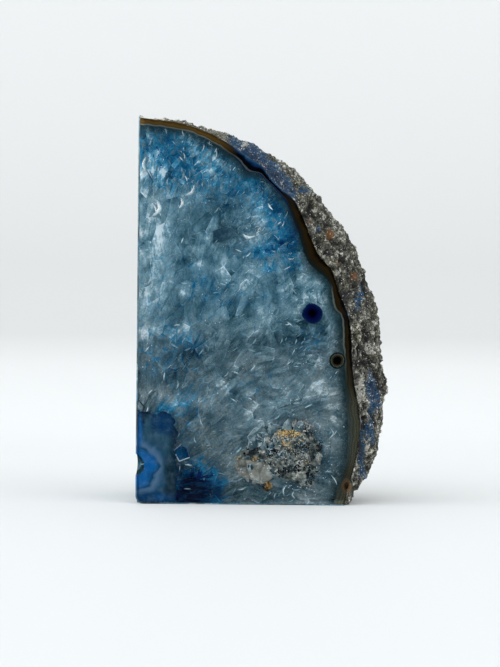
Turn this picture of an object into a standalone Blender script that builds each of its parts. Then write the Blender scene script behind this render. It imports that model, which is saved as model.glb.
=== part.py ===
"""Half of an agate nodule, sawn and polished into an upright bookend.

The stone is one grown piece: a rough rind around banded agate and a solid quartz heart.
Three saw cuts shape it. The polished face is at the lowest Y, the sawn side at the lowest X,
and the sawn base at Z = 0. The rest of the outside is the rough rind of the nodule.
Before it is centred, the outline points are measured from the sawn side and the base.
"""

import math

import bmesh
import bpy
from mathutils import Vector, noise

MM = 0.001

STONE_NAME = "agate_geode"
STONE_COLLECTION = "blue_agate_geode"
CUTTER_COLLECTION = "cutters"

# Colour, roughness and metallic value of the dyed quartz that makes most of the stone
STONE_COLOUR = (0.12, 0.24, 0.34, 1.0)
STONE_ROUGHNESS = 0.35
STONE_METALLIC = 0.0

# Axis of the nodule, seen from the front (mm from the sawn side, mm above the base)
AXIS_X = 8.0
AXIS_Z = 30.0

# Depth of the nodule behind the polished face, and the depth where it is widest (mm)
BACK_DEPTH = 60.0
GIRTH_DEPTH = 22.0
FRONT_SPARE = 8.0
BACK_FULLNESS = 2.2

# Outline of the nodule where the polished face cuts it (mm across, mm up)
FACE_OUTLINE = [
    (-25.0, 140.0), (0.0, 138.6), (8.0, 137.6), (15.0, 136.8), (22.0, 134.8), (29.0, 131.6),
    (35.0, 127.8), (41.0, 123.6), (46.4, 120.2), (47.8, 116.6), (50.4, 113.2), (54.6, 111.3),
    (57.2, 107.2), (62.5, 95.2), (65.0, 89.6), (70.0, 84.0), (72.6, 76.0), (75.8, 68.5),
    (77.0, 60.0), (77.3, 50.0), (78.3, 42.0), (79.9, 36.0), (80.5, 27.5), (80.1, 21.0),
    (78.6, 14.5), (76.7, 8.0), (75.2, 1.0), (71.0, -8.0),
]

# Outline of the nodule at its girth, behind the face (mm across, mm up)
GIRTH_OUTLINE = [
    (-25.0, 141.0), (3.0, 139.9), (18.0, 138.1), (32.5, 133.6), (46.5, 128.4), (59.5, 119.0),
    (69.6, 107.4), (76.4, 97.8), (82.2, 86.5), (85.9, 75.2), (88.6, 62.5), (89.8, 50.0),
    (90.3, 38.0), (89.4, 27.0), (86.1, 15.0), (82.2, 6.5), (76.0, -2.0), (66.0, -14.0),
]

# Rest of both outlines, on the waste side of the saw cuts
WASTE_OUTLINE = [(20.0, -45.0), (-35.0, -30.0), (-52.0, 30.0), (-45.0, 100.0)]

# Knobs and hollows of the rind: place across, depth and up, reach, and height (mm)
KNOBS = [
    ((84.0, 20.0, 86.5), 4.2, 2.4),
    ((83.0, 22.0, 80.5), 3.0, -0.9),
    ((79.0, 21.0, 95.5), 4.5, 0.5),
    ((87.0, 21.0, 75.0), 3.5, 0.5),
    ((90.0, 22.0, 58.0), 5.0, 0.4),
    ((91.0, 22.0, 43.0), 5.5, 1.1),
    ((91.0, 21.0, 35.4), 3.2, -1.6),
    ((90.0, 22.0, 30.5), 3.2, 0.8),
    ((58.0, 11.0, 115.5), 6.0, 1.0),
    ((70.0, 48.0, 60.0), 9.0, 2.0),
    ((46.0, 46.0, 96.0), 8.0, -1.6),
    ((60.0, 52.0, 28.0), 10.0, 1.5),
    ((24.0, 38.0, 122.0), 8.0, 1.4),
    ((86.0, 34.0, 50.0), 6.0, -1.3),
]

# Roughness of the rind: size of the swells and heights (mm)
SWELLS = [(13.0, 1.10), (6.0, 0.75), (3.4, 0.40)]
RIND_FADE = 7.0
RIND_FLOOR = 0.22

# Halvings of the sphere that the nodule is shaped from
NODULE_FACETS = 6

# Saw block: reach past the nodule, corner radius at the foot, and eased front edges (mm)
BLOCK_WIDTH = 130.0
BLOCK_DEPTH = 90.0
BLOCK_HEIGHT = 170.0
CORNER_RADIUS = 3.0
CORNER_STEPS = 6
EASED_EDGE = 0.5
EASED_STEPS = 2

# Shell-shaped chip knocked out of the front left edge (mm)
CHIP_CENTRE = (-2.5, -1.0, 14.5)
CHIP_SIZE = (5.7, 16.0, 4.3)
CHIP_LEAN = 24.0
CHIP_FACETS = 3


def clear_scene():
    """Remove every object that is in the scene at the start."""
    for item in list(bpy.data.objects):
        bpy.data.objects.remove(item, do_unlink=True)


def make_collection(name):
    """Make a collection under the scene's own."""
    collection = bpy.data.collections.new(name)
    bpy.context.scene.collection.children.link(collection)
    return collection


def make_material(name, colour, roughness, metallic):
    """Make a plain material for a solid."""
    material = bpy.data.materials.new(name)
    material.use_nodes = True
    shader = material.node_tree.nodes["Principled BSDF"]
    shader.inputs["Base Color"].default_value = colour
    shader.inputs["Roughness"].default_value = roughness
    shader.inputs["Metallic"].default_value = metallic
    material.diffuse_color = colour
    return material


def polar_outline(points):
    """Turn an outline into sorted (angle, radius) pairs around the nodule's axis."""
    pairs = []
    for across, up in points + WASTE_OUTLINE:
        offset_x = across - AXIS_X
        offset_z = up - AXIS_Z
        pairs.append((math.atan2(offset_z, offset_x), math.hypot(offset_x, offset_z)))
    return sorted(pairs)


def radius_at(pairs, angle):
    """Read the smooth closed outline's radius at an angle, by a cubic through its points."""
    count = len(pairs)
    after = 0
    while after < count and pairs[after][0] <= angle:
        after += 1
    angles = []
    radii = []
    for step in (-2, -1, 0, 1):
        index = after + step
        turns = math.floor(index / count)
        angles.append(pairs[index % count][0] + turns * 2.0 * math.pi)
        radii.append(pairs[index % count][1])
    span = angles[2] - angles[1]
    part = (angle - angles[1]) / span
    slope_in = (radii[2] - radii[0]) / (angles[2] - angles[0]) * span
    slope_out = (radii[3] - radii[1]) / (angles[3] - angles[1]) * span
    square = part * part
    cube = square * part
    return (
        (2.0 * cube - 3.0 * square + 1.0) * radii[1]
        + (cube - 2.0 * square + part) * slope_in
        + (3.0 * square - 2.0 * cube) * radii[2]
        + (cube - square) * slope_out
    )


def nodule_point(face, girth, angle, tilt):
    """Place a point of the smooth nodule from its angle round the axis and its tilt along it."""
    if tilt >= 0.0:
        depth = GIRTH_DEPTH + (BACK_DEPTH - GIRTH_DEPTH) * math.sin(tilt)
        share = (depth - GIRTH_DEPTH) / (BACK_DEPTH - GIRTH_DEPTH)
        shrink = max(0.0, 1.0 - share ** BACK_FULLNESS) ** (1.0 / BACK_FULLNESS)
        radius = radius_at(girth, angle) * shrink
    else:
        depth = GIRTH_DEPTH + (GIRTH_DEPTH + FRONT_SPARE) * math.sin(tilt)
        inner = radius_at(face, angle)
        outer = radius_at(girth, angle)
        if depth >= 0.0:
            radius = inner + (outer - inner) * math.sin(0.5 * math.pi * depth / GIRTH_DEPTH)
        else:
            radius = inner * math.sqrt(max(0.0, 1.0 - (depth / FRONT_SPARE) ** 2))
    return Vector((
        AXIS_X + radius * math.cos(angle),
        depth,
        AXIS_Z + radius * math.sin(angle),
    ))


def rind_height(place):
    """Height of the rough rind over the smooth nodule at a place (mm)."""
    fade = min(1.0, max(0.0, place.y / RIND_FADE))
    fade = RIND_FLOOR + (1.0 - RIND_FLOOR) * fade * fade * (3.0 - 2.0 * fade)
    height = 0.0
    for size, swell in SWELLS:
        height += swell * noise.noise(place / size)
    height *= fade
    for centre, reach, knob in KNOBS:
        away = (place - Vector(centre)).length / reach
        height += knob * math.exp(-away * away)
    return height


def build_nodule():
    """Shape a sphere into the whole rough nodule, in mm."""
    face = polar_outline(FACE_OUTLINE)
    girth = polar_outline(GIRTH_OUTLINE)
    form = bmesh.new()
    bmesh.ops.create_icosphere(form, subdivisions=NODULE_FACETS, radius=1.0)
    for vert in form.verts:
        angle = math.atan2(vert.co.y, vert.co.x)
        tilt = math.asin(max(-1.0, min(1.0, vert.co.z)))
        vert.co = nodule_point(face, girth, angle, tilt)
    bmesh.ops.reverse_faces(form, faces=form.faces[:])
    form.normal_update()
    rough = [vert.co + vert.normal * rind_height(vert.co) for vert in form.verts]
    for vert, place in zip(form.verts, rough):
        vert.co = place
    return form


def build_block():
    """Box whose faces are the saw cuts, with a rounded foot corner and eased front edges, in mm."""
    form = bmesh.new()
    bmesh.ops.create_cube(form, size=1.0)
    for vert in form.verts:
        vert.co = Vector((
            (vert.co.x + 0.5) * BLOCK_WIDTH,
            (vert.co.y + 0.5) * BLOCK_DEPTH,
            (vert.co.z + 0.5) * BLOCK_HEIGHT,
        ))
    near = 0.01
    foot = [
        edge for edge in form.edges
        if all(vert.co.x < near and vert.co.z < near for vert in edge.verts)
    ]
    bmesh.ops.bevel(
        form, geom=foot, offset=CORNER_RADIUS, offset_type="OFFSET", segments=CORNER_STEPS,
        profile=0.5, affect="EDGES",
    )
    front = [
        edge for edge in form.edges
        if all(vert.co.y < near for vert in edge.verts)
        and (
            all(vert.co.x < CORNER_RADIUS + near for vert in edge.verts)
            or all(vert.co.z < CORNER_RADIUS + near for vert in edge.verts)
        )
    ]
    bmesh.ops.bevel(
        form, geom=front, offset=EASED_EDGE, offset_type="OFFSET", segments=EASED_STEPS,
        profile=0.5, affect="EDGES",
    )
    bmesh.ops.recalc_face_normals(form, faces=form.faces[:])
    return form


def build_chip():
    """Egg-shaped cutter of the chip, in mm."""
    form = bmesh.new()
    bmesh.ops.create_icosphere(form, subdivisions=CHIP_FACETS, radius=1.0)
    lean = math.radians(CHIP_LEAN)
    for vert in form.verts:
        across = vert.co.x * CHIP_SIZE[0]
        deep = vert.co.y * CHIP_SIZE[1]
        up = vert.co.z * CHIP_SIZE[2]
        vert.co = Vector((
            CHIP_CENTRE[0] + across * math.cos(lean) + up * math.sin(lean),
            CHIP_CENTRE[1] + deep,
            CHIP_CENTRE[2] + up * math.cos(lean) - across * math.sin(lean),
        ))
    return form


def reach_of(form):
    """Largest X and Y of the part of the nodule that the saw cuts leave, in mm."""
    kept = [vert.co for vert in form.verts if vert.co.x > 0.0 and vert.co.z > 0.0]
    return max(place.x for place in kept), max(place.y for place in kept)


def place_mesh(form, name, collection, centre):
    """Centre a form on the stone's origin, turn it into metres and link it as an object."""
    for vert in form.verts:
        vert.co = (vert.co - centre) * MM
    mesh = bpy.data.meshes.new(name)
    form.to_mesh(mesh)
    form.free()
    item = bpy.data.objects.new(name, mesh)
    collection.objects.link(item)
    return item


def hide_cutter(item):
    """Mark an object as a cutter."""
    item.hide_render = True
    item.display_type = "WIRE"


def add_cut(stone, cutter, operation):
    """Add a Boolean cut to the stone."""
    cut = stone.modifiers.new(cutter.name, "BOOLEAN")
    cut.operation = operation
    cut.solver = "EXACT"
    cut.object = cutter


def main():
    """Build the sawn nodule as one solid."""
    clear_scene()
    parts = make_collection(STONE_COLLECTION)
    cutters = make_collection(CUTTER_COLLECTION)

    nodule = build_nodule()
    width, depth = reach_of(nodule)
    centre = Vector((0.5 * width, 0.5 * depth, 0.0))

    stone = place_mesh(nodule, STONE_NAME, parts, centre)
    stone.data.materials.append(
        make_material("dyed_agate", STONE_COLOUR, STONE_ROUGHNESS, STONE_METALLIC)
    )
    block = place_mesh(build_block(), "saw_block", cutters, centre)
    chip = place_mesh(build_chip(), "edge_chip", cutters, centre)
    for cutter in (block, chip):
        hide_cutter(cutter)
    add_cut(stone, block, "INTERSECT")
    add_cut(stone, chip, "DIFFERENCE")


main()
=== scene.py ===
"""Looks of a dyed blue agate nodule, sawn and polished into an upright bookend."""

import logging
import math
import random
from dataclasses import dataclass, field
from enum import Enum
from typing import Callable, Iterable, Sequence

import bpy
import numpy as np
from mathutils import Matrix, Vector
from mathutils.geometry import delaunay_2d_cdt
from mathutils.kdtree import KDTree

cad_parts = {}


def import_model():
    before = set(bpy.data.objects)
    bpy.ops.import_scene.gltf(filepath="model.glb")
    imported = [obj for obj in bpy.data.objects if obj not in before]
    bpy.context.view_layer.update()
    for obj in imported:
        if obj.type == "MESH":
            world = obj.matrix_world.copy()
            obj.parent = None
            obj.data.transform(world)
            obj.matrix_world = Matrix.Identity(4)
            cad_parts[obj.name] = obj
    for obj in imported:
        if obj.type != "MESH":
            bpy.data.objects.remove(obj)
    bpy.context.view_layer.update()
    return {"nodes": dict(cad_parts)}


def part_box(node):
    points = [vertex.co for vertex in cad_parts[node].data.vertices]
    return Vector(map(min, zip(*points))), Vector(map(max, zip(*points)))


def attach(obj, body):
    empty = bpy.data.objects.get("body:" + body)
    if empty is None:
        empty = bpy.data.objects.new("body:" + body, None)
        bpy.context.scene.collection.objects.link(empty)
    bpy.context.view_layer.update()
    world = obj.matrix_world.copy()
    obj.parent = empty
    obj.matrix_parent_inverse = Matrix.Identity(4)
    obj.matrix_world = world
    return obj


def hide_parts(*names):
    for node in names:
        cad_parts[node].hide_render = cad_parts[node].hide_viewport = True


LOG = logging.getLogger("agate")
MM = 0.001
STONE = "agate_geode"
BODY = "root"

Plane = tuple[float, float]
Colour = tuple[float, float, float]


class Zone(Enum):
    """Which surface of the sawn nodule a face belongs to."""

    POLISHED = "polished face"
    SIDE = "sawn side"
    BASE = "sawn base"
    EASED = "eased edge"
    CHIP = "chip"
    RIND = "rind"


class Grit(Enum):
    """Kinds of small mineral grain."""

    SILVER = "silver"
    BLACK = "black"
    OCHRE = "ochre"
    CLEAR = "clear"


def smooth(values: np.ndarray, low: float, high: float) -> np.ndarray:
    """Ease values from 0 at low to 1 at high.

    Args:
        values: Numbers to ease.
        low: Value that gives 0.
        high: Value that gives 1.

    Returns:
        The eased numbers.
    """
    part = np.clip((values - low) / (high - low), 0.0, 1.0)
    return part * part * (3.0 - 2.0 * part)


def scatter_value(cell: np.ndarray, seed: int) -> np.ndarray:
    """Give every cell of a lattice its own number of 0 to 1.

    Args:
        cell: Whole-number places of the cells, one row each.
        seed: Picks another set of numbers.

    Returns:
        One number a cell.
    """
    key = cell.astype(np.int64)
    mixed = (key[:, 0] * 73856093) ^ (key[:, 1] * 19349663) ^ (key[:, 2] * 83492791) ^ (seed * 2654435761)
    mixed = mixed & 0xFFFFFFFF
    for shift, factor in ((16, 0x45D9F3B), (15, 0x119DE1F3), (16, 0x344B5409)):
        mixed = ((mixed ^ (mixed >> shift)) * factor) & 0xFFFFFFFF
    return (mixed ^ (mixed >> 16)) / 4294967296.0


def soft_noise(points: np.ndarray, size: float, octaves: int = 3, seed: int = 0) -> np.ndarray:
    """Read smooth noise of about -1 to 1 at points.

    Args:
        points: Places in millimetres, one row each.
        size: Width of the noise's largest lumps, in millimetres.
        octaves: Number of layers, each half as wide and half as strong as the last.
        seed: Picks another noise.

    Returns:
        One number a point.
    """
    found = np.zeros(len(points))
    strength, whole = 1.0, 0.0
    for layer in range(octaves):
        place = points / size * 2.0 ** layer + 37.3 * (layer + 1)
        cell = np.floor(place)
        part = place - cell
        part = part * part * (3.0 - 2.0 * part)
        value = np.zeros(len(points))
        for corner in range(8):
            step = np.array([corner & 1, corner >> 1 & 1, corner >> 2 & 1])
            share = np.prod(np.where(step == 1, part, 1.0 - part), axis=1)
            value += share * scatter_value(cell + step, seed + layer)
        found += strength * (2.0 * value - 1.0)
        whole += strength
        strength *= 0.5
    return found / whole * 1.6


def cell_noise(points: np.ndarray, size: float, seed: int = 0) -> tuple[np.ndarray, np.ndarray, np.ndarray, np.ndarray]:
    """Split space into random cells and read them at points.

    Args:
        points: Places in millimetres, one row each.
        size: Usual width of a cell, in millimetres.
        seed: Picks another set of cells.

    Returns:
        Each point's distance to its cell's middle and to the next cell's, in cell widths, its
        cell's own number of 0 to 1, and its height on a plane through the cell that leans its
        own way.
    """
    place = points / size
    home = np.floor(place)
    near = np.full(len(points), 9.0)
    after = np.full(len(points), 9.0)
    tone = np.zeros(len(points))
    slope = np.zeros(len(points))
    for corner in range(27):
        cell = home + np.array([corner % 3 - 1, corner // 3 % 3 - 1, corner // 9 - 1])
        shift = np.stack([scatter_value(cell, seed + axis) for axis in range(3)], 1)
        offset = place - cell - shift
        away = np.linalg.norm(offset, axis=1)
        closer = away < near
        after = np.where(closer, near, np.minimum(after, away))
        tone = np.where(closer, scatter_value(cell, seed + 7), tone)
        lean = np.stack([scatter_value(cell, seed + 11 + axis) for axis in range(3)], 1) - 0.5
        slope = np.where(closer, np.sum(offset * lean, 1) * 2.0, slope)
        near = np.where(closer, away, near)
    return near, after, tone, slope


def fill(outline: np.ndarray, spacing: float, seed: int = 1) -> tuple[np.ndarray, list[tuple[int, ...]]]:
    """Cover a flat outline with small uneven triangles.

    Args:
        outline: The outline's points in order, in millimetres.
        spacing: Usual distance between points, in millimetres.
        seed: Picks another unevenness.

    Returns:
        The flat points and the triangles.
    """
    closed = np.vstack([outline, outline[:1]])
    length = np.linalg.norm(np.diff(closed, axis=0), axis=1)
    border = np.vstack([
        start + (end - start) * np.arange(max(1, round(run / spacing)))[:, None] / max(1, round(run / spacing))
        for start, end, run in zip(closed[:-1], closed[1:], length)
    ])
    rng = np.random.default_rng(seed)
    low, high = outline.min(0), outline.max(0)
    columns, rows = np.meshgrid(np.arange(low[0], high[0], spacing), np.arange(low[1], high[1], spacing * 0.87))
    columns = columns + (np.arange(len(rows)) % 2 * 0.5 * spacing)[:, None]
    grid = np.stack([columns.ravel(), rows.ravel()], 1)
    grid += (rng.random(grid.shape) - 0.5) * spacing * 0.4
    grid = grid[inside(grid, outline)]
    grid = grid[distance_to(grid, closed) > spacing * 0.45]
    count = len(border)
    places, _, tiles, *_ = delaunay_2d_cdt(
        [Vector(place) for place in np.vstack([border, grid])],
        [(index, (index + 1) % count) for index in range(count)],
        [list(range(count))], 1, 1e-7,
    )
    return np.array(places), [tuple(tile) for tile in tiles]


def spline(points: Sequence[Plane], steps: int) -> np.ndarray:
    """Run a smooth curve through points, evenly spaced along its length.

    Args:
        points: The curve's own points, in order.
        steps: Number of points to return.

    Returns:
        Points on the curve, one row each.
    """
    ends = np.array([points[0], *points, points[-1]], float)
    fine = []
    part = np.linspace(0.0, 1.0, 12, endpoint=False)[:, None]
    for before, start, end, after in zip(ends, ends[1:], ends[2:], ends[3:]):
        fine.append(0.5 * (
            2.0 * start
            + (end - before) * part
            + (2.0 * before - 5.0 * start + 4.0 * end - after) * part ** 2
            + (3.0 * start - before - 3.0 * end + after) * part ** 3
        ))
    fine.append(ends[-1:])
    return even(np.vstack(fine), steps)


def even(path: np.ndarray, steps: int) -> np.ndarray:
    """Space a path's points evenly along its length.

    Args:
        path: Points in order, one row each.
        steps: Number of points to return.

    Returns:
        The evenly spaced points.
    """
    lengths = np.linalg.norm(np.diff(path, axis=0), axis=1)
    along = np.concatenate([[0.0], np.cumsum(lengths)])
    wanted = np.linspace(0.0, along[-1], steps)
    return np.stack([np.interp(wanted, along, path[:, axis]) for axis in range(path.shape[1])], 1)


def distance_to(points: np.ndarray, path: np.ndarray) -> np.ndarray:
    """Measure each point's distance to an open path.

    Args:
        points: Places, one row each.
        path: The path's points in order.

    Returns:
        One distance a point.
    """
    best = np.full(len(points), np.inf)
    for start, end in zip(path[:-1], path[1:]):
        run = end - start
        share = np.clip(((points - start) @ run) / max(float(run @ run), 1e-12), 0.0, 1.0)
        away = np.linalg.norm(points - (start + share[:, None] * run), axis=1)
        best = np.minimum(best, away)
    return best


def inside(points: np.ndarray, outline: np.ndarray) -> np.ndarray:
    """Tell which points lie inside a closed outline.

    Args:
        points: Places in the outline's plane, one row each.
        outline: The outline's points in order.

    Returns:
        True for each point inside.
    """
    found = np.zeros(len(points), bool)
    for start, end in zip(outline, np.roll(outline, -1, axis=0)):
        crosses = (start[1] > points[:, 1]) != (end[1] > points[:, 1])
        rise = end[1] - start[1] if abs(end[1] - start[1]) > 1e-12 else 1e-12
        reach = start[0] + (points[:, 1] - start[1]) / rise * (end[0] - start[0])
        found ^= crosses & (points[:, 0] < reach)
    return found


@dataclass
class Shape:
    """A mesh in the stone's own millimetres, with values that vary over it.

    Args:
        points: Places as (across, depth, up), one row each.
        faces: Indices of each face's points.
        marks: Named values, one a point.
        face_marks: Named values, one a face.
    """

    points: np.ndarray
    faces: list[tuple[int, ...]]
    marks: dict[str, np.ndarray] = field(default_factory=dict)
    face_marks: dict[str, np.ndarray] = field(default_factory=dict)


@dataclass
class Stone:
    """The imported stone, read as outlines and faces in its own millimetres.

    The three measures of a place are its distance from the sawn side, its depth behind the
    polished face and its height over the sawn base.

    Args:
        low: Lowest corner of the stone's box, in metres.
        high: Highest corner of the stone's box, in metres.
        points: The solid's points, in the stone's millimetres.
        faces: The solid's triangles.
    """

    low: Vector
    high: Vector
    points: np.ndarray
    faces: np.ndarray

    NEAR = 0.004
    EASED = 0.56
    CORNER = 3.05

    @classmethod
    def read(cls, node: bpy.types.Object) -> "Stone":
        """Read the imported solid.

        Args:
            node: The solid's object.

        Returns:
            The stone.
        """
        low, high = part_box(node.name)
        mesh = node.data
        raw = np.array([vert.co for vert in mesh.vertices], float)
        own = (raw - np.array([low.x, low.y, 0.0])) / MM
        keys, back = np.unique(np.round(own, 3), axis=0, return_inverse=True)
        back = back.reshape(-1)
        mesh.calc_loop_triangles()
        corners = np.array([tri.vertices for tri in mesh.loop_triangles])
        faces = back[corners]
        whole = (
            (faces[:, 0] != faces[:, 1]) & (faces[:, 1] != faces[:, 2])
            & (faces[:, 0] != faces[:, 2])
        )
        return cls(low, high, keys, faces[whole])

    @property
    def size(self) -> np.ndarray:
        """The stone's width, depth and height in millimetres."""
        return np.array(self.high - self.low) / MM

    def place(self, points: np.ndarray) -> np.ndarray:
        """Turn the stone's own millimetres into metres of the shared frame."""
        return points * MM + np.array([self.low.x, self.low.y, 0.0])

    def zone_of(self, face: np.ndarray) -> Zone:
        """Tell which surface a triangle of the solid belongs to.

        Args:
            face: The triangle's three point indices.

        Returns:
            The surface.
        """
        across, depth, up = self.points[face].T
        if depth.max() < self.NEAR:
            return Zone.POLISHED
        if across.max() < self.NEAR:
            return Zone.SIDE
        if up.max() < self.NEAR:
            return Zone.BASE
        if across.max() < 6.0 and depth.max() < 20.0 and 8.5 < up.min() and up.max() < 21.0:
            return Zone.CHIP if across.max() > self.EASED or depth.max() > self.EASED else Zone.EASED
        foot = across.max() < self.CORNER and up.max() < self.CORNER
        if foot or (depth.max() < self.EASED and min(across.max(), up.max()) < self.EASED):
            return Zone.EASED
        return Zone.RIND

    def outline(self, zone: Zone, axes: tuple[int, int]) -> np.ndarray:
        """Trace the outline of a flat surface.

        Args:
            zone: The surface.
            axes: The two measures that span it.

        Returns:
            The outline's points in order.
        """
        edges: dict[tuple[int, int], int] = {}
        for face in self.faces:
            if self.zone_of(face) is zone:
                for start, end in ((0, 1), (1, 2), (2, 0)):
                    key = (int(face[start]), int(face[end]))
                    if key[::-1] in edges:
                        del edges[key[::-1]]
                    else:
                        edges[key] = 1
        follow = dict(edges.keys())
        loops: list[list[int]] = []
        while follow:
            start = next(iter(follow))
            loop = [start]
            while loop[-1] in follow:
                loop.append(follow.pop(loop[-1]))
            loops.append(loop[:-1])
        longest = max(loops, key=len)
        return self.points[longest][:, list(axes)]


class Graph:
    """A material's or group's nodes, placed and linked by short calls."""

    def __init__(self, tree: bpy.types.NodeTree) -> None:
        """Start from an empty tree.

        Args:
            tree: The node tree to fill.
        """
        self.tree = tree
        tree.nodes.clear()

    def add(self, kind: str, links: dict[str, object] | None = None, **settings: object) -> bpy.types.Node:
        """Place a node.

        Args:
            kind: The node's type without its leading words.
            links: Values or sockets for its inputs, by name or by number.
            settings: The node's own settings.

        Returns:
            The node.
        """
        node = self.tree.nodes.new(kind if kind.startswith("NodeGroup") else "ShaderNode" + kind)
        for name, value in settings.items():
            setattr(node, name, value)
        for name, value in (links or {}).items():
            self.feed(node.inputs[int(name[1:]) if name.startswith("#") else name], value)
        return node

    def feed(self, socket: bpy.types.NodeSocket, value: object) -> None:
        """Link a socket, or set its value."""
        if isinstance(value, bpy.types.NodeSocket):
            self.tree.links.new(value, socket)
        elif isinstance(value, tuple) and len(value) == 3 and socket.type == "RGBA":
            socket.default_value = (*value, 1.0)
        else:
            socket.default_value = value

    def attribute(self, name: str, vector: bool = False) -> bpy.types.NodeSocket:
        """Read a named value of the mesh."""
        node = self.add("Attribute", attribute_name=name)
        return node.outputs["Vector" if vector else "Fac"]

    def math(self, operation: str, *values: object) -> bpy.types.NodeSocket:
        """Work out a number."""
        links = {f"#{index}": value for index, value in enumerate(values)}
        return self.add("Math", links, operation=operation).outputs[0]

    def ease(self, value: object, low: float, high: float, start: float = 0.0, end: float = 1.0) -> bpy.types.NodeSocket:
        """Ease a number from one range into another."""
        links = {"Value": value, "From Min": low, "From Max": high, "To Min": start, "To Max": end}
        return self.add("MapRange", links, interpolation_type="SMOOTHSTEP").outputs["Result"]

    def mix(self, share: object, first: object, second: object, blend: str = "MIX") -> bpy.types.NodeSocket:
        """Mix two colours."""
        node = self.add("Mix", data_type="RGBA", blend_type=blend)
        for socket, value in zip((node.inputs[0], node.inputs[6], node.inputs[7]), (share, first, second)):
            self.feed(socket, value)
        return node.outputs[2]

    def ramp(self, value: object, stops: Sequence[tuple[float, Colour]], ease: str = "LINEAR") -> bpy.types.NodeSocket:
        """Turn a number into a colour through stops."""
        node = self.add("ValToRGB", {"Fac": value})
        bar = node.color_ramp
        bar.interpolation = ease
        while len(bar.elements) < len(stops):
            bar.elements.new(0.5)
        for element, (place, colour) in zip(bar.elements, sorted(stops)):
            element.position = place
            element.color = (*colour, 1.0)
        return node.outputs["Color"]

    def noise(self, vector: object, scale: float, detail: float = 3.0, rough: float = 0.5) -> bpy.types.NodeSocket:
        """Place soft noise of 0 to 1."""
        links = {"Vector": vector, "Scale": scale, "Detail": detail, "Roughness": rough}
        return self.add("TexNoise", links).outputs["Fac"]

    def cells(self, vector: object, scale: float, feature: str = "F1") -> bpy.types.Node:
        """Place a field of random cells."""
        return self.add("TexVoronoi", {"Vector": vector, "Scale": scale}, feature=feature)

    def stretch(self, vector: object, scale: tuple[float, float, float]) -> bpy.types.NodeSocket:
        """Scale a vector."""
        return self.add("VectorMath", {"#0": vector, "#1": scale}, operation="MULTIPLY").outputs[0]

    def warp(self, vector: object, scale: float, amount: float) -> bpy.types.NodeSocket:
        """Shake a vector by noise."""
        shake = self.add("TexNoise", {"Vector": vector, "Scale": scale, "Detail": 2.0}).outputs["Color"]
        centred = self.add("VectorMath", {"#0": shake, "#1": (0.5, 0.5, 0.5)}, operation="SUBTRACT").outputs[0]
        moved = self.add("VectorMath", {"#0": centred, "Scale": amount}, operation="SCALE").outputs[0]
        return self.add("VectorMath", {"#0": vector, "#1": moved}, operation="ADD").outputs[0]

    def surface(self, **values: object) -> bpy.types.Node:
        """Place the shader and the material's output.

        Args:
            values: The shader's inputs, with spaces written as underscores.

        Returns:
            The output node.
        """
        shader = self.add("BsdfPrincipled", {name.replace("_", " "): value for name, value in values.items()})
        return self.add("OutputMaterial", {"Surface": shader.outputs[0]})

    def bump(self, height: object, distance: float, strength: float = 1.0) -> bpy.types.NodeSocket:
        """Turn a height into a normal."""
        links = {"Height": height, "Distance": distance, "Strength": strength}
        return self.add("Bump", links).outputs["Normal"]


def new_material(name: str) -> tuple[bpy.types.Material, Graph]:
    """Make an empty node material.

    Args:
        name: The material's name.

    Returns:
        The material and its graph.
    """
    material = bpy.data.materials.new(name)
    material.use_nodes = True
    return material, Graph(material.node_tree)


def quartz_tints() -> bpy.types.NodeTree:
    """Share the colours of dyed quartz between finishes.

    Returns:
        A group that turns a tone, an amount of dye and a greenness into a colour.
    """
    name = "quartz_tints"
    if name in bpy.data.node_groups:
        return bpy.data.node_groups[name]
    tree = bpy.data.node_groups.new(name, "ShaderNodeTree")
    for title in ("Tone", "Dye", "Green"):
        tree.interface.new_socket(title, in_out="INPUT", socket_type="NodeSocketFloat")
    tree.interface.new_socket("Color", in_out="OUTPUT", socket_type="NodeSocketColor")
    graph = Graph(tree)
    given = tree.nodes.new("NodeGroupInput").outputs
    blue_grey = graph.ramp(given["Tone"], [
        (0.0, (0.008, 0.034, 0.05)), (0.25, (0.038, 0.11, 0.15)), (0.5, (0.115, 0.24, 0.3)),
        (0.75, (0.28, 0.45, 0.52)), (1.0, (0.9, 0.97, 1.0)),
    ])
    green_grey = graph.ramp(given["Tone"], [
        (0.0, (0.008, 0.019, 0.024)), (0.25, (0.038, 0.066, 0.076)), (0.5, (0.115, 0.158, 0.174)),
        (0.75, (0.28, 0.345, 0.36)), (1.0, (0.92, 0.96, 0.97)),
    ])
    azure = graph.ramp(given["Tone"], [
        (0.0, (0.0, 0.024, 0.07)), (0.3, (0.004, 0.085, 0.19)), (0.6, (0.028, 0.22, 0.38)),
        (0.85, (0.18, 0.5, 0.68)), (1.0, (0.85, 0.97, 1.0)),
    ])
    navy = graph.ramp(given["Tone"], [
        (0.0, (0.0, 0.004, 0.02)), (0.5, (0.002, 0.02, 0.12)), (1.0, (0.05, 0.2, 0.5)),
    ])
    colour = graph.mix(given["Green"], blue_grey, green_grey)
    colour = graph.mix(graph.ease(given["Dye"], 0.0, 1.0), colour, azure)
    colour = graph.mix(graph.ease(given["Dye"], 1.7, 3.2), colour, navy)
    tree.links.new(colour, tree.nodes.new("NodeGroupOutput").inputs["Color"])
    return tree


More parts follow.
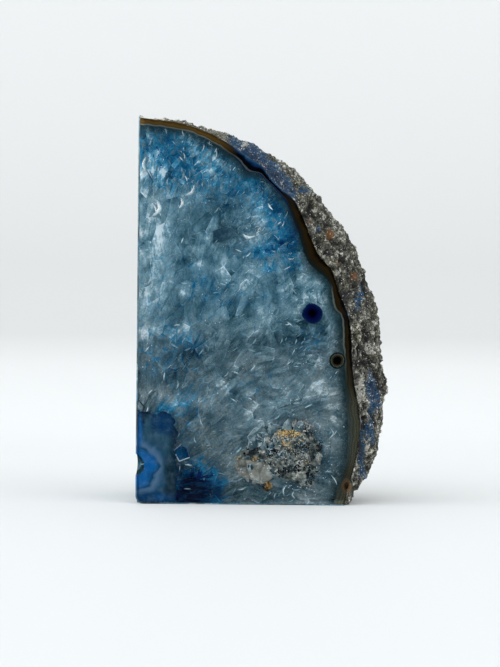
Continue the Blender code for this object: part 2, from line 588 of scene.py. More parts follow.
def corner_bands() -> bpy.types.NodeTree:
    """Share the colours of the banded corner between finishes.

    Returns:
        A group that turns the distance to the pale fold, in millimetres, into a colour.
    """
    name = "corner_bands"
    if name in bpy.data.node_groups:
        return bpy.data.node_groups[name]
    tree = bpy.data.node_groups.new(name, "ShaderNodeTree")
    tree.interface.new_socket("Fold", in_out="INPUT", socket_type="NodeSocketFloat")
    tree.interface.new_socket("Color", in_out="OUTPUT", socket_type="NodeSocketColor")
    graph = Graph(tree)
    given = tree.nodes.new("NodeGroupInput").outputs
    reach = graph.math("MULTIPLY_ADD", given["Fold"], 0.07, 0.45)
    colour = graph.ramp(reach, [
        (0.0, (0.002, 0.1, 0.3)), (0.27, (0.004, 0.13, 0.36)), (0.36, (0.006, 0.075, 0.2)),
        (0.39, (0.006, 0.05, 0.11)), (0.42, (0.035, 0.12, 0.215)), (0.47, (0.085, 0.17, 0.285)),
        (0.54, (0.06, 0.14, 0.245)), (0.62, (0.018, 0.085, 0.16)), (0.74, (0.014, 0.06, 0.11)),
        (0.84, (0.006, 0.035, 0.055)), (0.95, (0.004, 0.02, 0.03)), (1.0, (0.003, 0.02, 0.04)),
    ])
    tree.links.new(colour, tree.nodes.new("NodeGroupOutput").inputs["Color"])
    return tree


@dataclass
class Workshop:
    """Turns shapes into pieces that ride on the stone's body."""

    stone: Stone
    made: list[bpy.types.Object] = field(default_factory=list)

    def piece(self, name: str, shape: Shape, material: bpy.types.Material, rounded: bool = False, closed: bool = False) -> bpy.types.Object:
        """Make one piece of the stone.

        Args:
            name: The piece's name.
            shape: Its mesh and values.
            material: Its finish.
            rounded: Whether it is shaded smooth.
            closed: Not used.

        Returns:
            The piece.
        """
        mesh = bpy.data.meshes.new(name)
        mesh.from_pydata(self.stone.place(shape.points).tolist(), [], [list(face) for face in shape.faces])
        for title, values in shape.marks.items():
            self.mark(mesh, title, "POINT", values)
        for title, values in shape.face_marks.items():
            self.mark(mesh, title, "FACE", values)
        mesh.materials.append(material)
        if rounded:
            mesh.shade_smooth()
        mesh.update()
        item = bpy.data.objects.new(name, mesh)
        bpy.context.scene.collection.objects.link(item)
        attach(item, BODY)
        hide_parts(STONE)
        self.made.append(item)
        LOG.info("%s: %d faces", name, len(mesh.polygons))
        return item

    @staticmethod
    def mark(mesh: bpy.types.Mesh, title: str, domain: str, values: np.ndarray) -> None:
        """Store named values on a mesh."""
        if values.ndim == 2:
            mesh.attributes.new(title, "FLOAT_VECTOR", domain).data.foreach_set("vector", values.astype(np.float32).ravel())
        else:
            mesh.attributes.new(title, "FLOAT", domain).data.foreach_set("value", values.astype(np.float32))


@dataclass
class Layout:
    """Places on the polished face, read from the photo's 500 x 667 frame and kept in millimetres.

    Args:
        scale: Pixels of the photo for each millimetre at the face.
        roll: Lean of the stone in the photo, in radians.
        centre: The photo's middle, in pixels.
        corner: Pixels from the photo's middle to the stone's lower left corner.
    """

    scale: float = 2.79
    roll: float = 0.0092
    centre: Plane = (250.0, 333.5)
    corner: Plane = (113.3, 171.3)

    def at(self, column: float, row: float) -> Plane:
        """Turn a pixel of the photo into millimetres on the face."""
        right, up = column - self.centre[0], self.centre[1] - row
        turned = right * math.cos(self.roll) - up * math.sin(self.roll)
        raised = right * math.sin(self.roll) + up * math.cos(self.roll)
        return (turned + self.corner[0]) / self.scale, (raised + self.corner[1]) / self.scale

    def path(self, pixels: Iterable[Plane]) -> list[Plane]:
        """Turn pixels of the photo into millimetres on the face."""
        return [self.at(*pixel) for pixel in pixels]


LAYOUT = Layout()

# Inner edge of the rim bands, in pixels of the photo
RIM_LINE = [
    (134, 124), (150, 126), (170, 128), (190, 132.5), (210, 141), (223, 149.5), (237, 160),
    (243, 167), (248, 172), (258, 173.5), (263, 177), (277, 191), (286, 203), (291, 214),
    (298, 232), (304, 251), (309, 263), (318, 271.5), (328, 280.5), (331, 288), (332, 300),
    (335, 309), (340, 315), (341.5, 328), (343, 350), (343.5, 370), (345, 388), (347, 405),
    (348, 425), (347.5, 452), (345, 467), (340, 482), (336, 492), (333, 506),
]


@dataclass
class Growth:
    """The way the quartz grew: inwards from the rim to one meeting place.

    Args:
        meeting: The meeting place on the face, in millimetres.
        long: Length of a crystal for each unit of its width.
        stray: How far its direction strays, in millimetres.
    """

    meeting: Plane = (-7.0, 5.0)
    long: float = 1.45
    stray: float = 6.0

    def bend(self, flat: np.ndarray) -> np.ndarray:
        """Find how far the growth strays at places on the face, in millimetres."""
        place = np.column_stack([flat, np.zeros(len(flat))])
        return self.stray * np.stack([soft_noise(place, 24.0, 2, seed) for seed in (51, 77)], 1)

    def read(self, flat: np.ndarray) -> np.ndarray:
        """Turn places on the face into turn round the meeting place and shortened reach from it."""
        away = flat + self.bend(flat) - np.array(self.meeting)
        reach = np.maximum(np.hypot(away[:, 0], away[:, 1]), 0.5)
        return np.stack([np.arctan2(away[:, 1], away[:, 0]), np.log(reach) / self.long], 1)

    def write(self, grown: np.ndarray) -> np.ndarray:
        """Turn grown places back into places on the face."""
        reach = np.exp(np.minimum(grown[:, 1] * self.long, 9.0))
        aimed = np.array(self.meeting) + reach[:, None] * np.stack([np.cos(grown[:, 0]), np.sin(grown[:, 0])], 1)
        flat = aimed
        for _ in range(4):
            flat = aimed - self.bend(flat)
        return flat


@dataclass
class Face:
    """The polished face's own outlines, shared by the pieces behind it.

    Args:
        outline: The whole face's outline, in millimetres.
        rind_edge: The part of the outline along the rind, from the top left to the foot.
        rim_line: The inner edge of the rim bands.
    """

    outline: np.ndarray
    rind_edge: np.ndarray
    rim_line: np.ndarray

    @classmethod
    def trace(cls, stone: Stone) -> "Face":
        """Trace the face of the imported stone."""
        outline = stone.outline(Zone.POLISHED, (0, 2))
        foot = outline[:, 1] < 0.55
        side = outline[:, 0] < 0.62
        first = int(np.argmax(np.where(side, outline[:, 1], -1.0)))
        last = int(np.argmax(np.where(foot, outline[:, 0], -1.0)))
        count = len(outline)
        forward = [(first + step) % count for step in range((last - first) % count + 1)]
        backward = [(first - step) % count for step in range((first - last) % count + 1)]
        edge = outline[max(forward, backward, key=lambda path: outline[path][:, 0].max())]
        rim = spline(LAYOUT.path(RIM_LINE), 400)
        return cls(outline, edge, rim)

    def from_rim(self, flat: np.ndarray) -> np.ndarray:
        """Distance of places from the rim bands' inner edge, in millimetres."""
        return distance_to(flat, self.rim_line[::3])

    def from_rind(self, flat: np.ndarray) -> np.ndarray:
        """Distance of places from the face's edge along the rind, in millimetres."""
        return distance_to(flat, self.rind_edge)


@dataclass(frozen=True)
class Blob:
    """A soft round or long patch on the face.

    Args:
        pixel: Its middle in the photo.
        reach: Half its length and half its width, in millimetres.
        turn: Turn of its length from level, in degrees.
        amount: Its strength.
    """

    pixel: Plane
    reach: Plane
    turn: float = 0.0
    amount: float = 1.0

    def at(self, flat: np.ndarray) -> np.ndarray:
        """Strength of the patch at places on the face."""
        away = flat - np.array(LAYOUT.at(*self.pixel))
        turn = math.radians(self.turn)
        long = away[:, 0] * math.cos(turn) + away[:, 1] * math.sin(turn)
        wide = away[:, 1] * math.cos(turn) - away[:, 0] * math.sin(turn)
        return self.amount * np.exp(-((long / self.reach[0]) ** 2 + (wide / self.reach[1]) ** 2))


def total(blobs: Sequence[Blob], flat: np.ndarray) -> np.ndarray:
    """Sum the patches at places on the face."""
    return np.sum([blob.at(flat) for blob in blobs], axis=0)


# Where the dye soaked in, where the quartz is milky and where it is clear and dark
DYE = [
    Blob((165, 156), (17.0, 13.0), 0.0, 0.25),
    Blob((170, 165), (14.0, 12.0), 0.0, 0.3), Blob((283, 228), (10.0, 4.6), -55.0, 0.25),
    Blob((185, 160), (20.0, 11.0), -8.0, 0.62), Blob((150, 150), (8.0, 9.0), 0.0, 0.35),
    Blob((235, 190), (9.0, 7.0), -40.0, 0.45), Blob((272, 205), (16.0, 4.6), -56.0, 1.0),
    Blob((288, 238), (10.0, 5.0), -68.0, 0.85), Blob((262, 250), (8.0, 3.4), 15.0, 0.75),
    Blob((270, 267), (3.0, 1.6), 18.0, 1.5), Blob((288, 268), (2.6, 0.9), 25.0, 1.7), Blob((273, 247), (4.8, 1.6), 25.0, 1.6),
    Blob((205, 285), (9.0, 5.0), -25.0, 0.55), Blob((185, 340), (9.0, 5.0), -30.0, 0.6),
    Blob((150, 300), (6.0, 22.0), 0.0, 0.25), Blob((160, 365), (12.0, 6.0), -20.0, 0.4),
    Blob((312, 340), (7.0, 6.0), 0.0, 0.35), Blob((196, 487), (6.0, 5.6), 0.0, 5.0), Blob((186, 500), (6.2, 3.4), 0.0, 5.0),
    Blob((183, 400), (4.5, 2.4), 20.0, 0.9), Blob((160, 412), (7.5, 1.8), 0.0, 1.1),
    Blob((186, 440), (2.5, 6.0), 0.0, 0.5), Blob((240, 300), (14.0, 3.0), 5.0, 0.3),
    Blob((225, 395), (20.0, 5.0), 25.0, 0.2), Blob((321, 448), (1.2, 2.6), -12.0, 1.3),
]
MILK = [
    Blob((168, 156), (18.0, 13.0), 0.0, 0.13),
    Blob((235, 385), (20.0, 10.0), 15.0, 0.2), Blob((330, 455), (7.0, 14.0), 0.0, 0.2),
    Blob((148, 235), (6.0, 28.0), 0.0, 0.75), Blob((160, 300), (10.0, 14.0), 0.0, 0.3),
    Blob((262, 318), (12.0, 4.0), 12.0, 0.55), Blob((225, 250), (14.0, 9.0), 0.0, 0.25),
    Blob((305, 370), (15.0, 6.0), 12.0, 0.35), Blob((275, 405), (18.0, 3.6), 26.0, 0.6),
    Blob((220, 440), (10.0, 6.0), 30.0, 0.15), Blob((150, 190), (4.0, 10.0), 0.0, 0.5),
    Blob((335, 425), (7.0, 14.0), 0.0, 0.3), Blob((158, 397), (6.0, 4.0), 0.0, 0.5),
    Blob((270, 225), (10.0, 4.0), 35.0, 0.4), Blob((185, 205), (4.0, 7.0), 0.0, 0.45),
]
CLEAR = [
    Blob((200, 483), (11.0, 9.0), 0.0, 0.5),
    Blob((190, 498), (8.0, 4.0), 0.0, 0.5), Blob((288, 245), (4.0, 8.0), 20.0, 0.3),
    Blob((281, 212), (13.0, 3.2), -58.0, 0.5),
    Blob((196, 488), (6.5, 5.6), 0.0, 0.9),
    Blob((225, 236), (4.8, 2.4), 5.0, 0.9), Blob((188, 272), (8.0, 4.0), -50.0, 0.6),
    Blob((192, 343), (7.0, 5.5), 0.0, 0.6), Blob((235, 215), (8.0, 5.0), -30.0, 0.4),
    Blob((222, 300), (8.0, 3.4), -20.0, 0.5), Blob((300, 340), (10.0, 4.0), 10.0, 0.35),
    Blob((250, 350), (16.0, 8.0), 20.0, 0.3), Blob((205, 430), (9.0, 6.0), 0.0, 0.45),
    Blob((180, 365), (4.0, 6.0), -20.0, 0.5), Blob((330, 470), (10.0, 11.0), 0.0, 0.55),
    Blob((215, 495), (22.0, 6.0), 0.0, 0.6), Blob((345, 330), (4.0, 18.0), 0.0, 0.4),
    Blob((184, 462), (2.6, 11.0), 0.0, 0.5), Blob((215, 455), (9.0, 6.0), 0.0, 0.25),
    Blob((200, 145), (20.0, 2.4), -12.0, 0.45), Blob((290, 300), (6.0, 6.0), 0.0, 0.3),
]


@dataclass
class Quartz:
    """The heart of the stone: grown crystals seen through the polished face.

    Args:
        narrow: Width of the crystals at the rim, in millimetres.
        wide: Width of the crystals far from the rim, in millimetres.
        floor: Depth of the crystals behind the face far from its edges, in millimetres.
        tries: Number of places tried for crystals.
    """

    narrow: float = 0.95
    wide: float = 5.6
    floor: float = 3.4
    tries: int = 26000

    def width(self, face: Face, flat: np.ndarray) -> np.ndarray:
        """Width of the crystals at places on the face."""
        usual = self.narrow + (self.wide - self.narrow) * smooth(face.from_rim(flat), -3.0, 34.0)
        uneven = soft_noise(np.column_stack([flat, np.zeros(len(flat))]), 11.0, 2, 12)
        return usual * np.clip(1.0 + 0.55 * uneven, 0.5, 1.7)

    def seeds(self, face: Face, growth: Growth) -> tuple[np.ndarray, np.ndarray]:
        """Scatter the crystals' middles, closer together near the rim.

        Args:
            face: The polished face's outlines.
            growth: The crystals' directions.

        Returns:
            The grown places and whether each lies on the face.
        """
        rng = np.random.default_rng(11)
        low, high = np.array([-14.0, -14.0]), np.array([96.0, 152.0])
        tried = low + rng.random((self.tries, 2)) * (high - low)
        away = np.hypot(*(tried - np.array(growth.meeting)).T)
        gap = self.width(face, tried) * (0.45 + 0.95 * rng.random(self.tries)) / np.maximum(away, 4.0)
        grown = growth.read(tried)
        kept: list[int] = []
        taken = np.empty((0, 2))
        for index in range(self.tries):
            if len(kept) == 0 or np.min(np.sum((taken - grown[index]) ** 2, 1)) > gap[index] ** 2:
                kept.append(index)
                taken = grown[kept]
        return grown[kept], tried[kept]

    def depth(self, face: Face, flat: np.ndarray) -> np.ndarray:
        """Smooth depth of the crystals behind the face."""
        border = np.minimum(flat[:, 0], flat[:, 1])
        close = np.minimum(np.maximum(border, 0.0), face.from_rim(flat))
        return 0.5 + self.floor * (1.0 - np.exp(-close / 7.0))

    def shape(self, face: Face) -> Shape:
        """Build the crystals' facets.

        Args:
            face: The polished face's outlines.

        Returns:
            The facets.
        """
        growth = Growth()
        rng = random.Random(5)
        grown, flat = self.seeds(face, growth)
        links, _, triangles, *_ = delaunay_2d_cdt([Vector(seed) for seed in grown], [], [], 0, 1e-7)
        seeds = np.array(links)
        corners = np.array(triangles)
        first, second, third = (seeds[corners[:, index]] for index in range(3))
        centres = self.circumcentres(first, second, third)
        around: dict[int, list[int]] = {}
        for index, corner in enumerate(corners):
            for seed in corner:
                around.setdefault(int(seed), []).append(index)
        places = growth.write(centres)
        seed_places = growth.write(seeds)
        room = inside(seed_places, self.quartz_outline(face)) | (face.from_rim(seed_places) < 1.3)
        room &= (seed_places > -7.0).all(1)
        points: list[list[float]] = []
        faces: list[tuple[int, ...]] = []
        notch = face.outline[(face.outline[:, 0] < 5.0) & (face.outline[:, 1] > 9.0) & (face.outline[:, 1] < 20.0)].mean(0)
        edge_mark: list[float] = []
        facet_mark: list[float] = []
        cell_mark: list[float] = []
        own_mark: list[list[float]] = []
        sweep_mark: list[float] = []
        limit = np.array([0.55, 0.45])
        for seed, ring in around.items():
            if not room[seed] or len(ring) < 3:
                continue
            middle = seed_places[seed]
            ring.sort(key=lambda index: math.atan2(centres[index][1] - seeds[seed][1], centres[index][0] - seeds[seed][0]))
            border = np.maximum(places[ring], limit)
            span = float(np.linalg.norm(border - middle, axis=1).mean())
            if span > 22.0 or np.linalg.norm(border - notch, axis=1).min() < 4.2:
                continue
            start = len(points)
            cell = rng.random()
            lean = np.array([rng.uniform(-1, 1), rng.uniform(-1, 1)]) * 0.32
            apex = np.maximum(middle + lean * span * 0.6, limit + 0.1)
            rise = span * rng.uniform(0.06, 0.26)
            drop = rng.uniform(-0.12, 0.12) * span
            aim = math.atan2(middle[1] - growth.meeting[1], middle[0] - growth.meeting[0]) + rng.gauss(0.0, 0.5)
            turn = rng.uniform(0.0, 2.0 * math.pi)
            for place in [*border, apex]:
                east, north = place - middle
                along, across = (east * math.cos(aim) + north * math.sin(aim), north * math.cos(aim) - east * math.sin(aim))
                own_mark.append([along, across, cell * 97.0])
                sweep_mark.append((east * math.cos(turn) + north * math.sin(turn)) / span)
            for place in border:
                points.append([place[0], drop, place[1]])
                edge_mark.append(0.0)
            points.append([apex[0], drop - rise, apex[1]])
            edge_mark.append(1.0)
            count = len(ring)
            for index in range(count):
                after = (index + 1) % count
                if np.linalg.norm(border[index] - border[after]) < 1e-6:
                    continue
                faces.append((start + index, start + after, start + count))
                facet_mark.append(rng.random())
                cell_mark.append(cell)
        own = np.array(points)
        flat_places = own[:, [0, 2]]
        depth = self.depth(face, flat_places)
        own[:, 1] = np.maximum(depth + own[:, 1] * smooth(depth, 0.4, 2.6), 0.42)
        reach = growth.read(flat_places)
        marks = {
            "edge": np.array(edge_mark),
            "own": np.array(own_mark),
            "sweep": np.array(sweep_mark),
            "dye": total(DYE, flat_places),
            "milk": total(MILK, flat_places),
            "clear": total(CLEAR, flat_places),
            "rim": face.from_rim(flat_places),
            "grown": np.stack([reach[:, 0] * 60.0, np.exp(reach[:, 1] * growth.long), own[:, 1]], 1),
            "height": flat_places[:, 1],
            "place": own,
        }
        return Shape(own, faces, marks, {"facet": np.array(facet_mark), "cell": np.array(cell_mark)})

    @staticmethod
    def quartz_outline(face: Face) -> np.ndarray:
        """Outline of the quartz: the rim line closed along the sawn side and base."""
        return np.vstack([face.rim_line, [[76.0, -9.0], [-9.0, -9.0], [-9.0, 137.0]]])

    @staticmethod
    def circumcentres(first: np.ndarray, second: np.ndarray, third: np.ndarray) -> np.ndarray:
        """Middles of the circles through triangles' corners."""
        side, other = second - first, third - first
        cross = 2.0 * (side[:, 0] * other[:, 1] - side[:, 1] * other[:, 0])
        cross = np.where(np.abs(cross) < 1e-12, 1e-12, cross)
        one, two = np.sum(side * side, 1), np.sum(other * other, 1)
        across = (other[:, 1] * one - side[:, 1] * two) / cross
        up = (side[:, 0] * two - other[:, 0] * one) / cross
        return first + np.stack([across, up], 1)

    def material(self) -> bpy.types.Material:
        """Finish of the crystals: soft grey-blue quartz with dye along the seams and small painted glints."""
        material, graph = new_material("dyed_quartz")
        edge, facet, cell = (graph.attribute(name) for name in ("edge", "facet", "cell"))
        grown, place = graph.attribute("grown", vector=True), graph.attribute("place", vector=True)
        dye, milk, clear = (graph.attribute(name) for name in ("dye", "milk", "clear"))
        own, sweep = graph.attribute("own", vector=True), graph.attribute("sweep")
        threads = graph.noise(graph.stretch(grown, (0.7, 0.22, 0.5)), 1.0, 3.0, 0.5)
        strands = graph.noise(graph.stretch(own, (0.22, 1.1, 1.0)), 1.0, 4.0, 0.6)
        cloud = graph.noise(place, 0.14, 3.0, 0.5)
        grain = graph.noise(place, 1.5, 4.0, 0.65)
        chance = graph.noise(place, 0.3, 2.0)
        seam = graph.ease(edge, 0.0, 0.16, 1.0, 0.0)
        crisp = graph.math("MULTIPLY", graph.ease(graph.noise(place, 0.09, 2.0), 0.4, 0.6, 0.35, 1.15), graph.ease(graph.attribute("height"), 34.0, 70.0, 0.68, 1.0))
        body = graph.math("MULTIPLY_ADD", graph.math("POWER", cell, 0.8), 0.25, -0.12)
        body = graph.math("MULTIPLY_ADD", facet, 0.09, body)
        body = graph.math("ADD", body, graph.ease(sweep, -0.9, 0.9, -0.07, 0.09))
        tone = graph.math("MULTIPLY_ADD", body, crisp, 0.466)
        mottle = graph.noise(place, 0.34, 3.0, 0.55)
        for value, low, high, least, most, masked in (
            (threads, 0.3, 0.7, -0.07, 0.07, False), (strands, 0.34, 0.66, -0.08, 0.09, True),
            (cloud, 0.34, 0.66, -0.13, 0.14, False), (grain, 0.35, 0.68, -0.06, 0.08, False),
            (mottle, 0.34, 0.66, -0.08, 0.08, True),
        ):
            step = graph.ease(value, low, high, least, most)
            tone = graph.math("ADD", tone, graph.math("MULTIPLY", step, crisp) if masked else step)
        tone = graph.math("ADD", tone, graph.ease(graph.attribute("dye"), 1.0, 3.5, 0.0, -0.12))
        tone = graph.math("ADD", tone, graph.ease(graph.attribute("height"), 30.0, 78.0, 0.035, 0.004))
        tone = graph.math("MULTIPLY_ADD", milk, 0.3, tone)
        tone = graph.math("MULTIPLY_ADD", clear, -0.34, tone)
        pale_seam = graph.math("MULTIPLY", seam, graph.ease(sweep, 0.1, 0.6, 0.0, 0.2))
        tone = graph.math("MULTIPLY_ADD", pale_seam, graph.ease(chance, 0.42, 0.56, 0.2, 1.0), tone)
        shards = graph.cells(graph.warp(graph.stretch(own, (0.9, 1.9, 1.0)), 1.3, 0.5), 1.0)
        close = graph.ease(shards.outputs["Distance"], 0.16, 0.32, 1.0, 0.0)
        crowd = graph.ease(graph.noise(place, 0.22, 2.0), 0.48, 0.6)
        # Painted glints: pale spots near the middles of some shards, where the noise crowds them.
        painted_quartz_glint = graph.math("MULTIPLY", graph.math("MULTIPLY", close, crowd), graph.ease(shards.outputs["Color"], 0.7, 0.78))
        tone = graph.math("MULTIPLY_ADD", painted_quartz_glint, 0.45, tone)
        patch = graph.noise(graph.stretch(own, (0.16, 0.6, 1.0)), 1.0, 4.0, 0.6)
        soak = graph.math("MULTIPLY", dye, graph.ease(patch, 0.38, 0.6, 0.2, 1.35))
        spots = graph.noise(place, 0.6, 3.0, 0.6)
        seep = graph.math("MULTIPLY", graph.ease(edge, 0.0, 0.3, 1.0, 0.0), graph.ease(spots, 0.5, 0.6, 0.0, 1.5))
        soak = graph.math("ADD", soak, graph.math("MULTIPLY", seep, graph.math("MULTIPLY_ADD", dye, 0.8, 0.3)))
        dart = graph.math("MULTIPLY", graph.math("MULTIPLY", close, graph.ease(shards.outputs["Color"], 0.34, 0.26)), graph.ease(spots, 0.46, 0.58))
        soak = graph.math("ADD", soak, graph.math("MULTIPLY", dart, graph.math("MULTIPLY_ADD", dye, 1.6, 0.6)))
        green = graph.math("MULTIPLY", graph.ease(graph.attribute("height"), 48.0, 78.0, 1.0, 0.12), graph.ease(cloud, 0.35, 0.6, 0.7, 1.0))
        quartz = graph.add("Group", {"Tone": tone, "Dye": soak, "Green": green}, node_tree=quartz_tints())
        shade = graph.mix(graph.ease(dye, 0.9, 1.5), (0.013, 0.034, 0.04), (0.001, 0.018, 0.08))
        fringe = graph.math("POWER", graph.ease(graph.attribute("rim"), 0.0, 5.0, 1.0, 0.0), 1.5)
        fringe = graph.math("MULTIPLY", fringe, graph.ease(spots, 0.3, 0.7, 0.85, 1.05))
        colour = graph.mix(fringe, quartz.outputs["Color"], shade)
        graph.surface(
            Base_Color=colour, Roughness=graph.ease(grain, 0.3, 0.7, 0.2, 0.5),
            Specular_IOR_Level=0.03,
            Normal=graph.bump(strands, 0.0003, 0.3),
        )
        return material


@dataclass
class RimBands:
    """The thin agate bands between the rind and the quartz.

    Args:
        depth: Depth behind the polished face, in millimetres.
        along: Steps along the rim.
        across: Steps across it.
    """

    depth: float = 0.16
    along: int = 520
    across: int = 14

    OLIVE = (Blob((356, 435), (4.0, 19.0), 0.0, 1.3), Blob((340, 500), (6.0, 6.0), 0.0, 1.0))
    BLACK = (Blob((254, 166), (8.5, 5.0), -40.0, 2.0), Blob((280, 188), (5.0, 3.0), -48.0, 0.8), Blob((345, 320), (2.0, 3.0), 0.0, 0.5))
    GOLD = (Blob((160, 124), (20.0, 4.0), -4.0, 1.2), Blob((215, 140), (10.0, 4.0), -28.0, 0.8))
    LINED = (
        Blob((180, 128), (18.0, 3.0), -8.0, 0.8), Blob((245, 165), (6.0, 3.0), -40.0, 0.6),
        Blob((333, 300), (3.0, 4.0), 0.0, 1.3), Blob((344, 335), (3.0, 12.0), 0.0, 1.0),
    )
    OUTER = (Blob((353, 328), (3.0, 17.0), 0.0, 1.4), Blob((318, 262), (3.0, 8.0), -30.0, 0.7))
    DYED = (Blob((268, 184), (11.0, 4.0), -45.0, 1.0), Blob((288, 215), (8.0, 3.0), -60.0, 0.4))

    def shape(self, face: Face) -> Shape:
        """Build the band between the rind and the quartz."""
        outer = even(face.rind_edge, self.along)
        inner = even(face.rim_line, self.along)
        share = np.linspace(0.0, 1.0, self.across + 1)
        rows = []
        for part in share:
            flat = np.maximum(outer * (1.0 - part) + inner * part, 0.3)
            rows.append(np.stack([flat[:, 0], np.full(self.along, self.depth + 0.1 * part), flat[:, 1]], 1))
        points = np.vstack(rows)
        faces = []
        for row in range(self.across):
            for step in range(self.along - 1):
                corner = row * self.along + step
                faces.append((corner, corner + self.along, corner + self.along + 1, corner + 1))
        flat = points[:, [0, 2]]
        return Shape(points, faces, {
            "band": np.repeat(share, self.along),
            "olive": np.clip(total(self.OLIVE, flat), 0.0, 1.0),
            "gold": np.clip(total(self.GOLD, flat), 0.0, 1.0),
            "outer": np.clip(total(self.OUTER, flat), 0.0, 1.0),
            "black": np.clip(total(self.BLACK, flat), 0.0, 1.0),
            "dye": np.clip(total(self.DYED, flat), 0.0, 1.0),
            "pale": np.clip(total(self.LINED, flat), 0.0, 1.0),
            "place": points,
        })

    @staticmethod
    def material() -> bpy.types.Material:
        """Finish of the bands: brown, olive and dark teal lines along the rim."""
        material, graph = new_material("rim_agate")
        place = graph.attribute("place", vector=True)
        wander = graph.noise(place, 0.22, 3.0)
        band = graph.math("ADD", graph.attribute("band"), graph.ease(wander, 0.3, 0.7, -0.09, 0.09))
        reach = graph.math("MULTIPLY", band, 0.66)
        brown = graph.ramp(reach, [
            (0.0, (0.002, 0.002, 0.001)), (0.1, (0.004, 0.003, 0.001)), (0.24, (0.025, 0.014, 0.004)),
            (0.36, (0.022, 0.015, 0.006)), (0.46, (0.014, 0.013, 0.008)), (0.62, (0.008, 0.018, 0.02)),
            (0.82, (0.014, 0.06, 0.085)), (1.0, (0.02, 0.09, 0.13)),
        ])
        gold = graph.ramp(reach, [
            (0.0, (0.12, 0.1, 0.06)), (0.1, (0.05, 0.028, 0.007)), (0.3, (0.12, 0.07, 0.016)),
            (0.48, (0.06, 0.035, 0.01)), (0.56, (0.2, 0.18, 0.13)), (0.64, (0.03, 0.08, 0.11)),
            (1.0, (0.02, 0.1, 0.16)),
        ])
        olive = graph.ramp(reach, [
            (0.0, (0.008, 0.009, 0.006)), (0.08, (0.03, 0.032, 0.02)), (0.17, (0.075, 0.076, 0.05)),
            (0.24, (0.04, 0.043, 0.028)), (0.31, (0.08, 0.082, 0.056)), (0.4, (0.038, 0.044, 0.032)),
            (0.5, (0.06, 0.072, 0.06)), (0.58, (0.04, 0.055, 0.05)), (0.66, (0.06, 0.085, 0.085)),
            (1.0, (0.05, 0.085, 0.09)),
        ])
        black = graph.ramp(reach, [
            (0.0, (0.07, 0.14, 0.2)), (0.06, (0.02, 0.08, 0.17)), (0.16, (0.004, 0.025, 0.08)),
            (0.24, (0.001, 0.003, 0.008)), (0.46, (0.001, 0.001, 0.002)), (0.53, (0.07, 0.07, 0.06)),
            (0.58, (0.004, 0.006, 0.014)), (0.68, (0.001, 0.008, 0.04)), (0.8, (0.002, 0.03, 0.1)),
            (1.0, (0.004, 0.07, 0.14)),
        ])
        brown = graph.mix(graph.attribute("gold"), brown, gold)
        colour = graph.mix(graph.attribute("olive"), brown, olive)
        colour = graph.mix(graph.attribute("black"), colour, black)
        line = graph.math("MULTIPLY", graph.ease(reach, 0.44, 0.54), graph.ease(reach, 0.56, 0.66, 1.0, 0.0))
        colour = graph.mix(graph.math("MULTIPLY", line, graph.attribute("pale")), colour, (0.12, 0.145, 0.13))
        colour = graph.mix(graph.math("MULTIPLY", graph.attribute("outer"), graph.ease(reach, 0.12, 0.26, 1.0, 0.0)), colour, (0.003, 0.003, 0.003))
        soak = graph.math("MULTIPLY", graph.attribute("dye"), graph.ease(reach, 0.5, 0.68))
        colour = graph.mix(soak, colour, (0.001, 0.03, 0.15))
        graph.surface(Base_Color=colour, Roughness=0.3, Specular_IOR_Level=0.0)
        return material


@dataclass
class Plate:
    """The clear polished quartz in front of everything on the face.

    Args:
        inset: Distance inside the face's outline, in millimetres.
        thick: Depth of the plate, in millimetres.
    """

    inset: float = 0.12
    thick: float = 9.0

    def shape(self, face: Face) -> Shape:
        """Build the plate as one closed body."""
        outline = face.outline
        ahead = np.roll(outline, -1, axis=0) - outline
        behind = outline - np.roll(outline, 1, axis=0)
        run = ahead / np.linalg.norm(ahead, axis=1)[:, None] + behind / np.linalg.norm(behind, axis=1)[:, None]
        side = np.stack([-run[:, 1], run[:, 0]], 1)
        side /= np.maximum(np.linalg.norm(side, axis=1)[:, None], 1e-9)
        trial = inside(outline + side * 0.05, outline).mean()
        rim = outline + side * (self.inset if trial > 0.5 else -self.inset)
        rim = rim[distance_to(rim, np.vstack([outline, outline[:1]])) > 0.97 * self.inset]
        count = len(rim)
        corners, _, tiles, *_ = delaunay_2d_cdt(
            [Vector(place) for place in rim],
            [(index, (index + 1) % count) for index in range(count)],
            [list(range(count))], 1, 1e-9,
        )
        LOG.info("plate outline %d points, %d crossings", count, len(corners) - count)
        front = np.stack([rim[:, 0], np.full(count, 0.0), rim[:, 1]], 1)
        back = front + np.array([0.0, self.thick, 0.0])
        faces = [tuple(tile) for tile in tiles]
        faces += [tuple(index + count for index in reversed(tile)) for tile in tiles]
        faces += [(index, index + count, (index + 1) % count + count, (index + 1) % count) for index in range(count)]
        return Shape(np.vstack([front, back]), faces)

    @staticmethod
    def material() -> bpy.types.Material:
        """Finish of the plate: clear quartz with a slight blue cast."""
        material, graph = new_material("clear_quartz")
        out = graph.surface(Base_Color=(1.0, 1.0, 1.0), Roughness=0.02, Metallic=0.0, IOR=1.54, Transmission_Weight=1.0, Specular_Tint=(0.05, 0.05, 0.05))
        body = graph.add("VolumeAbsorption", {"Color": (0.5, 0.8, 0.92), "Density": 60.0})
        graph.tree.links.new(body.outputs["Volume"], out.inputs["Volume"])
        return material


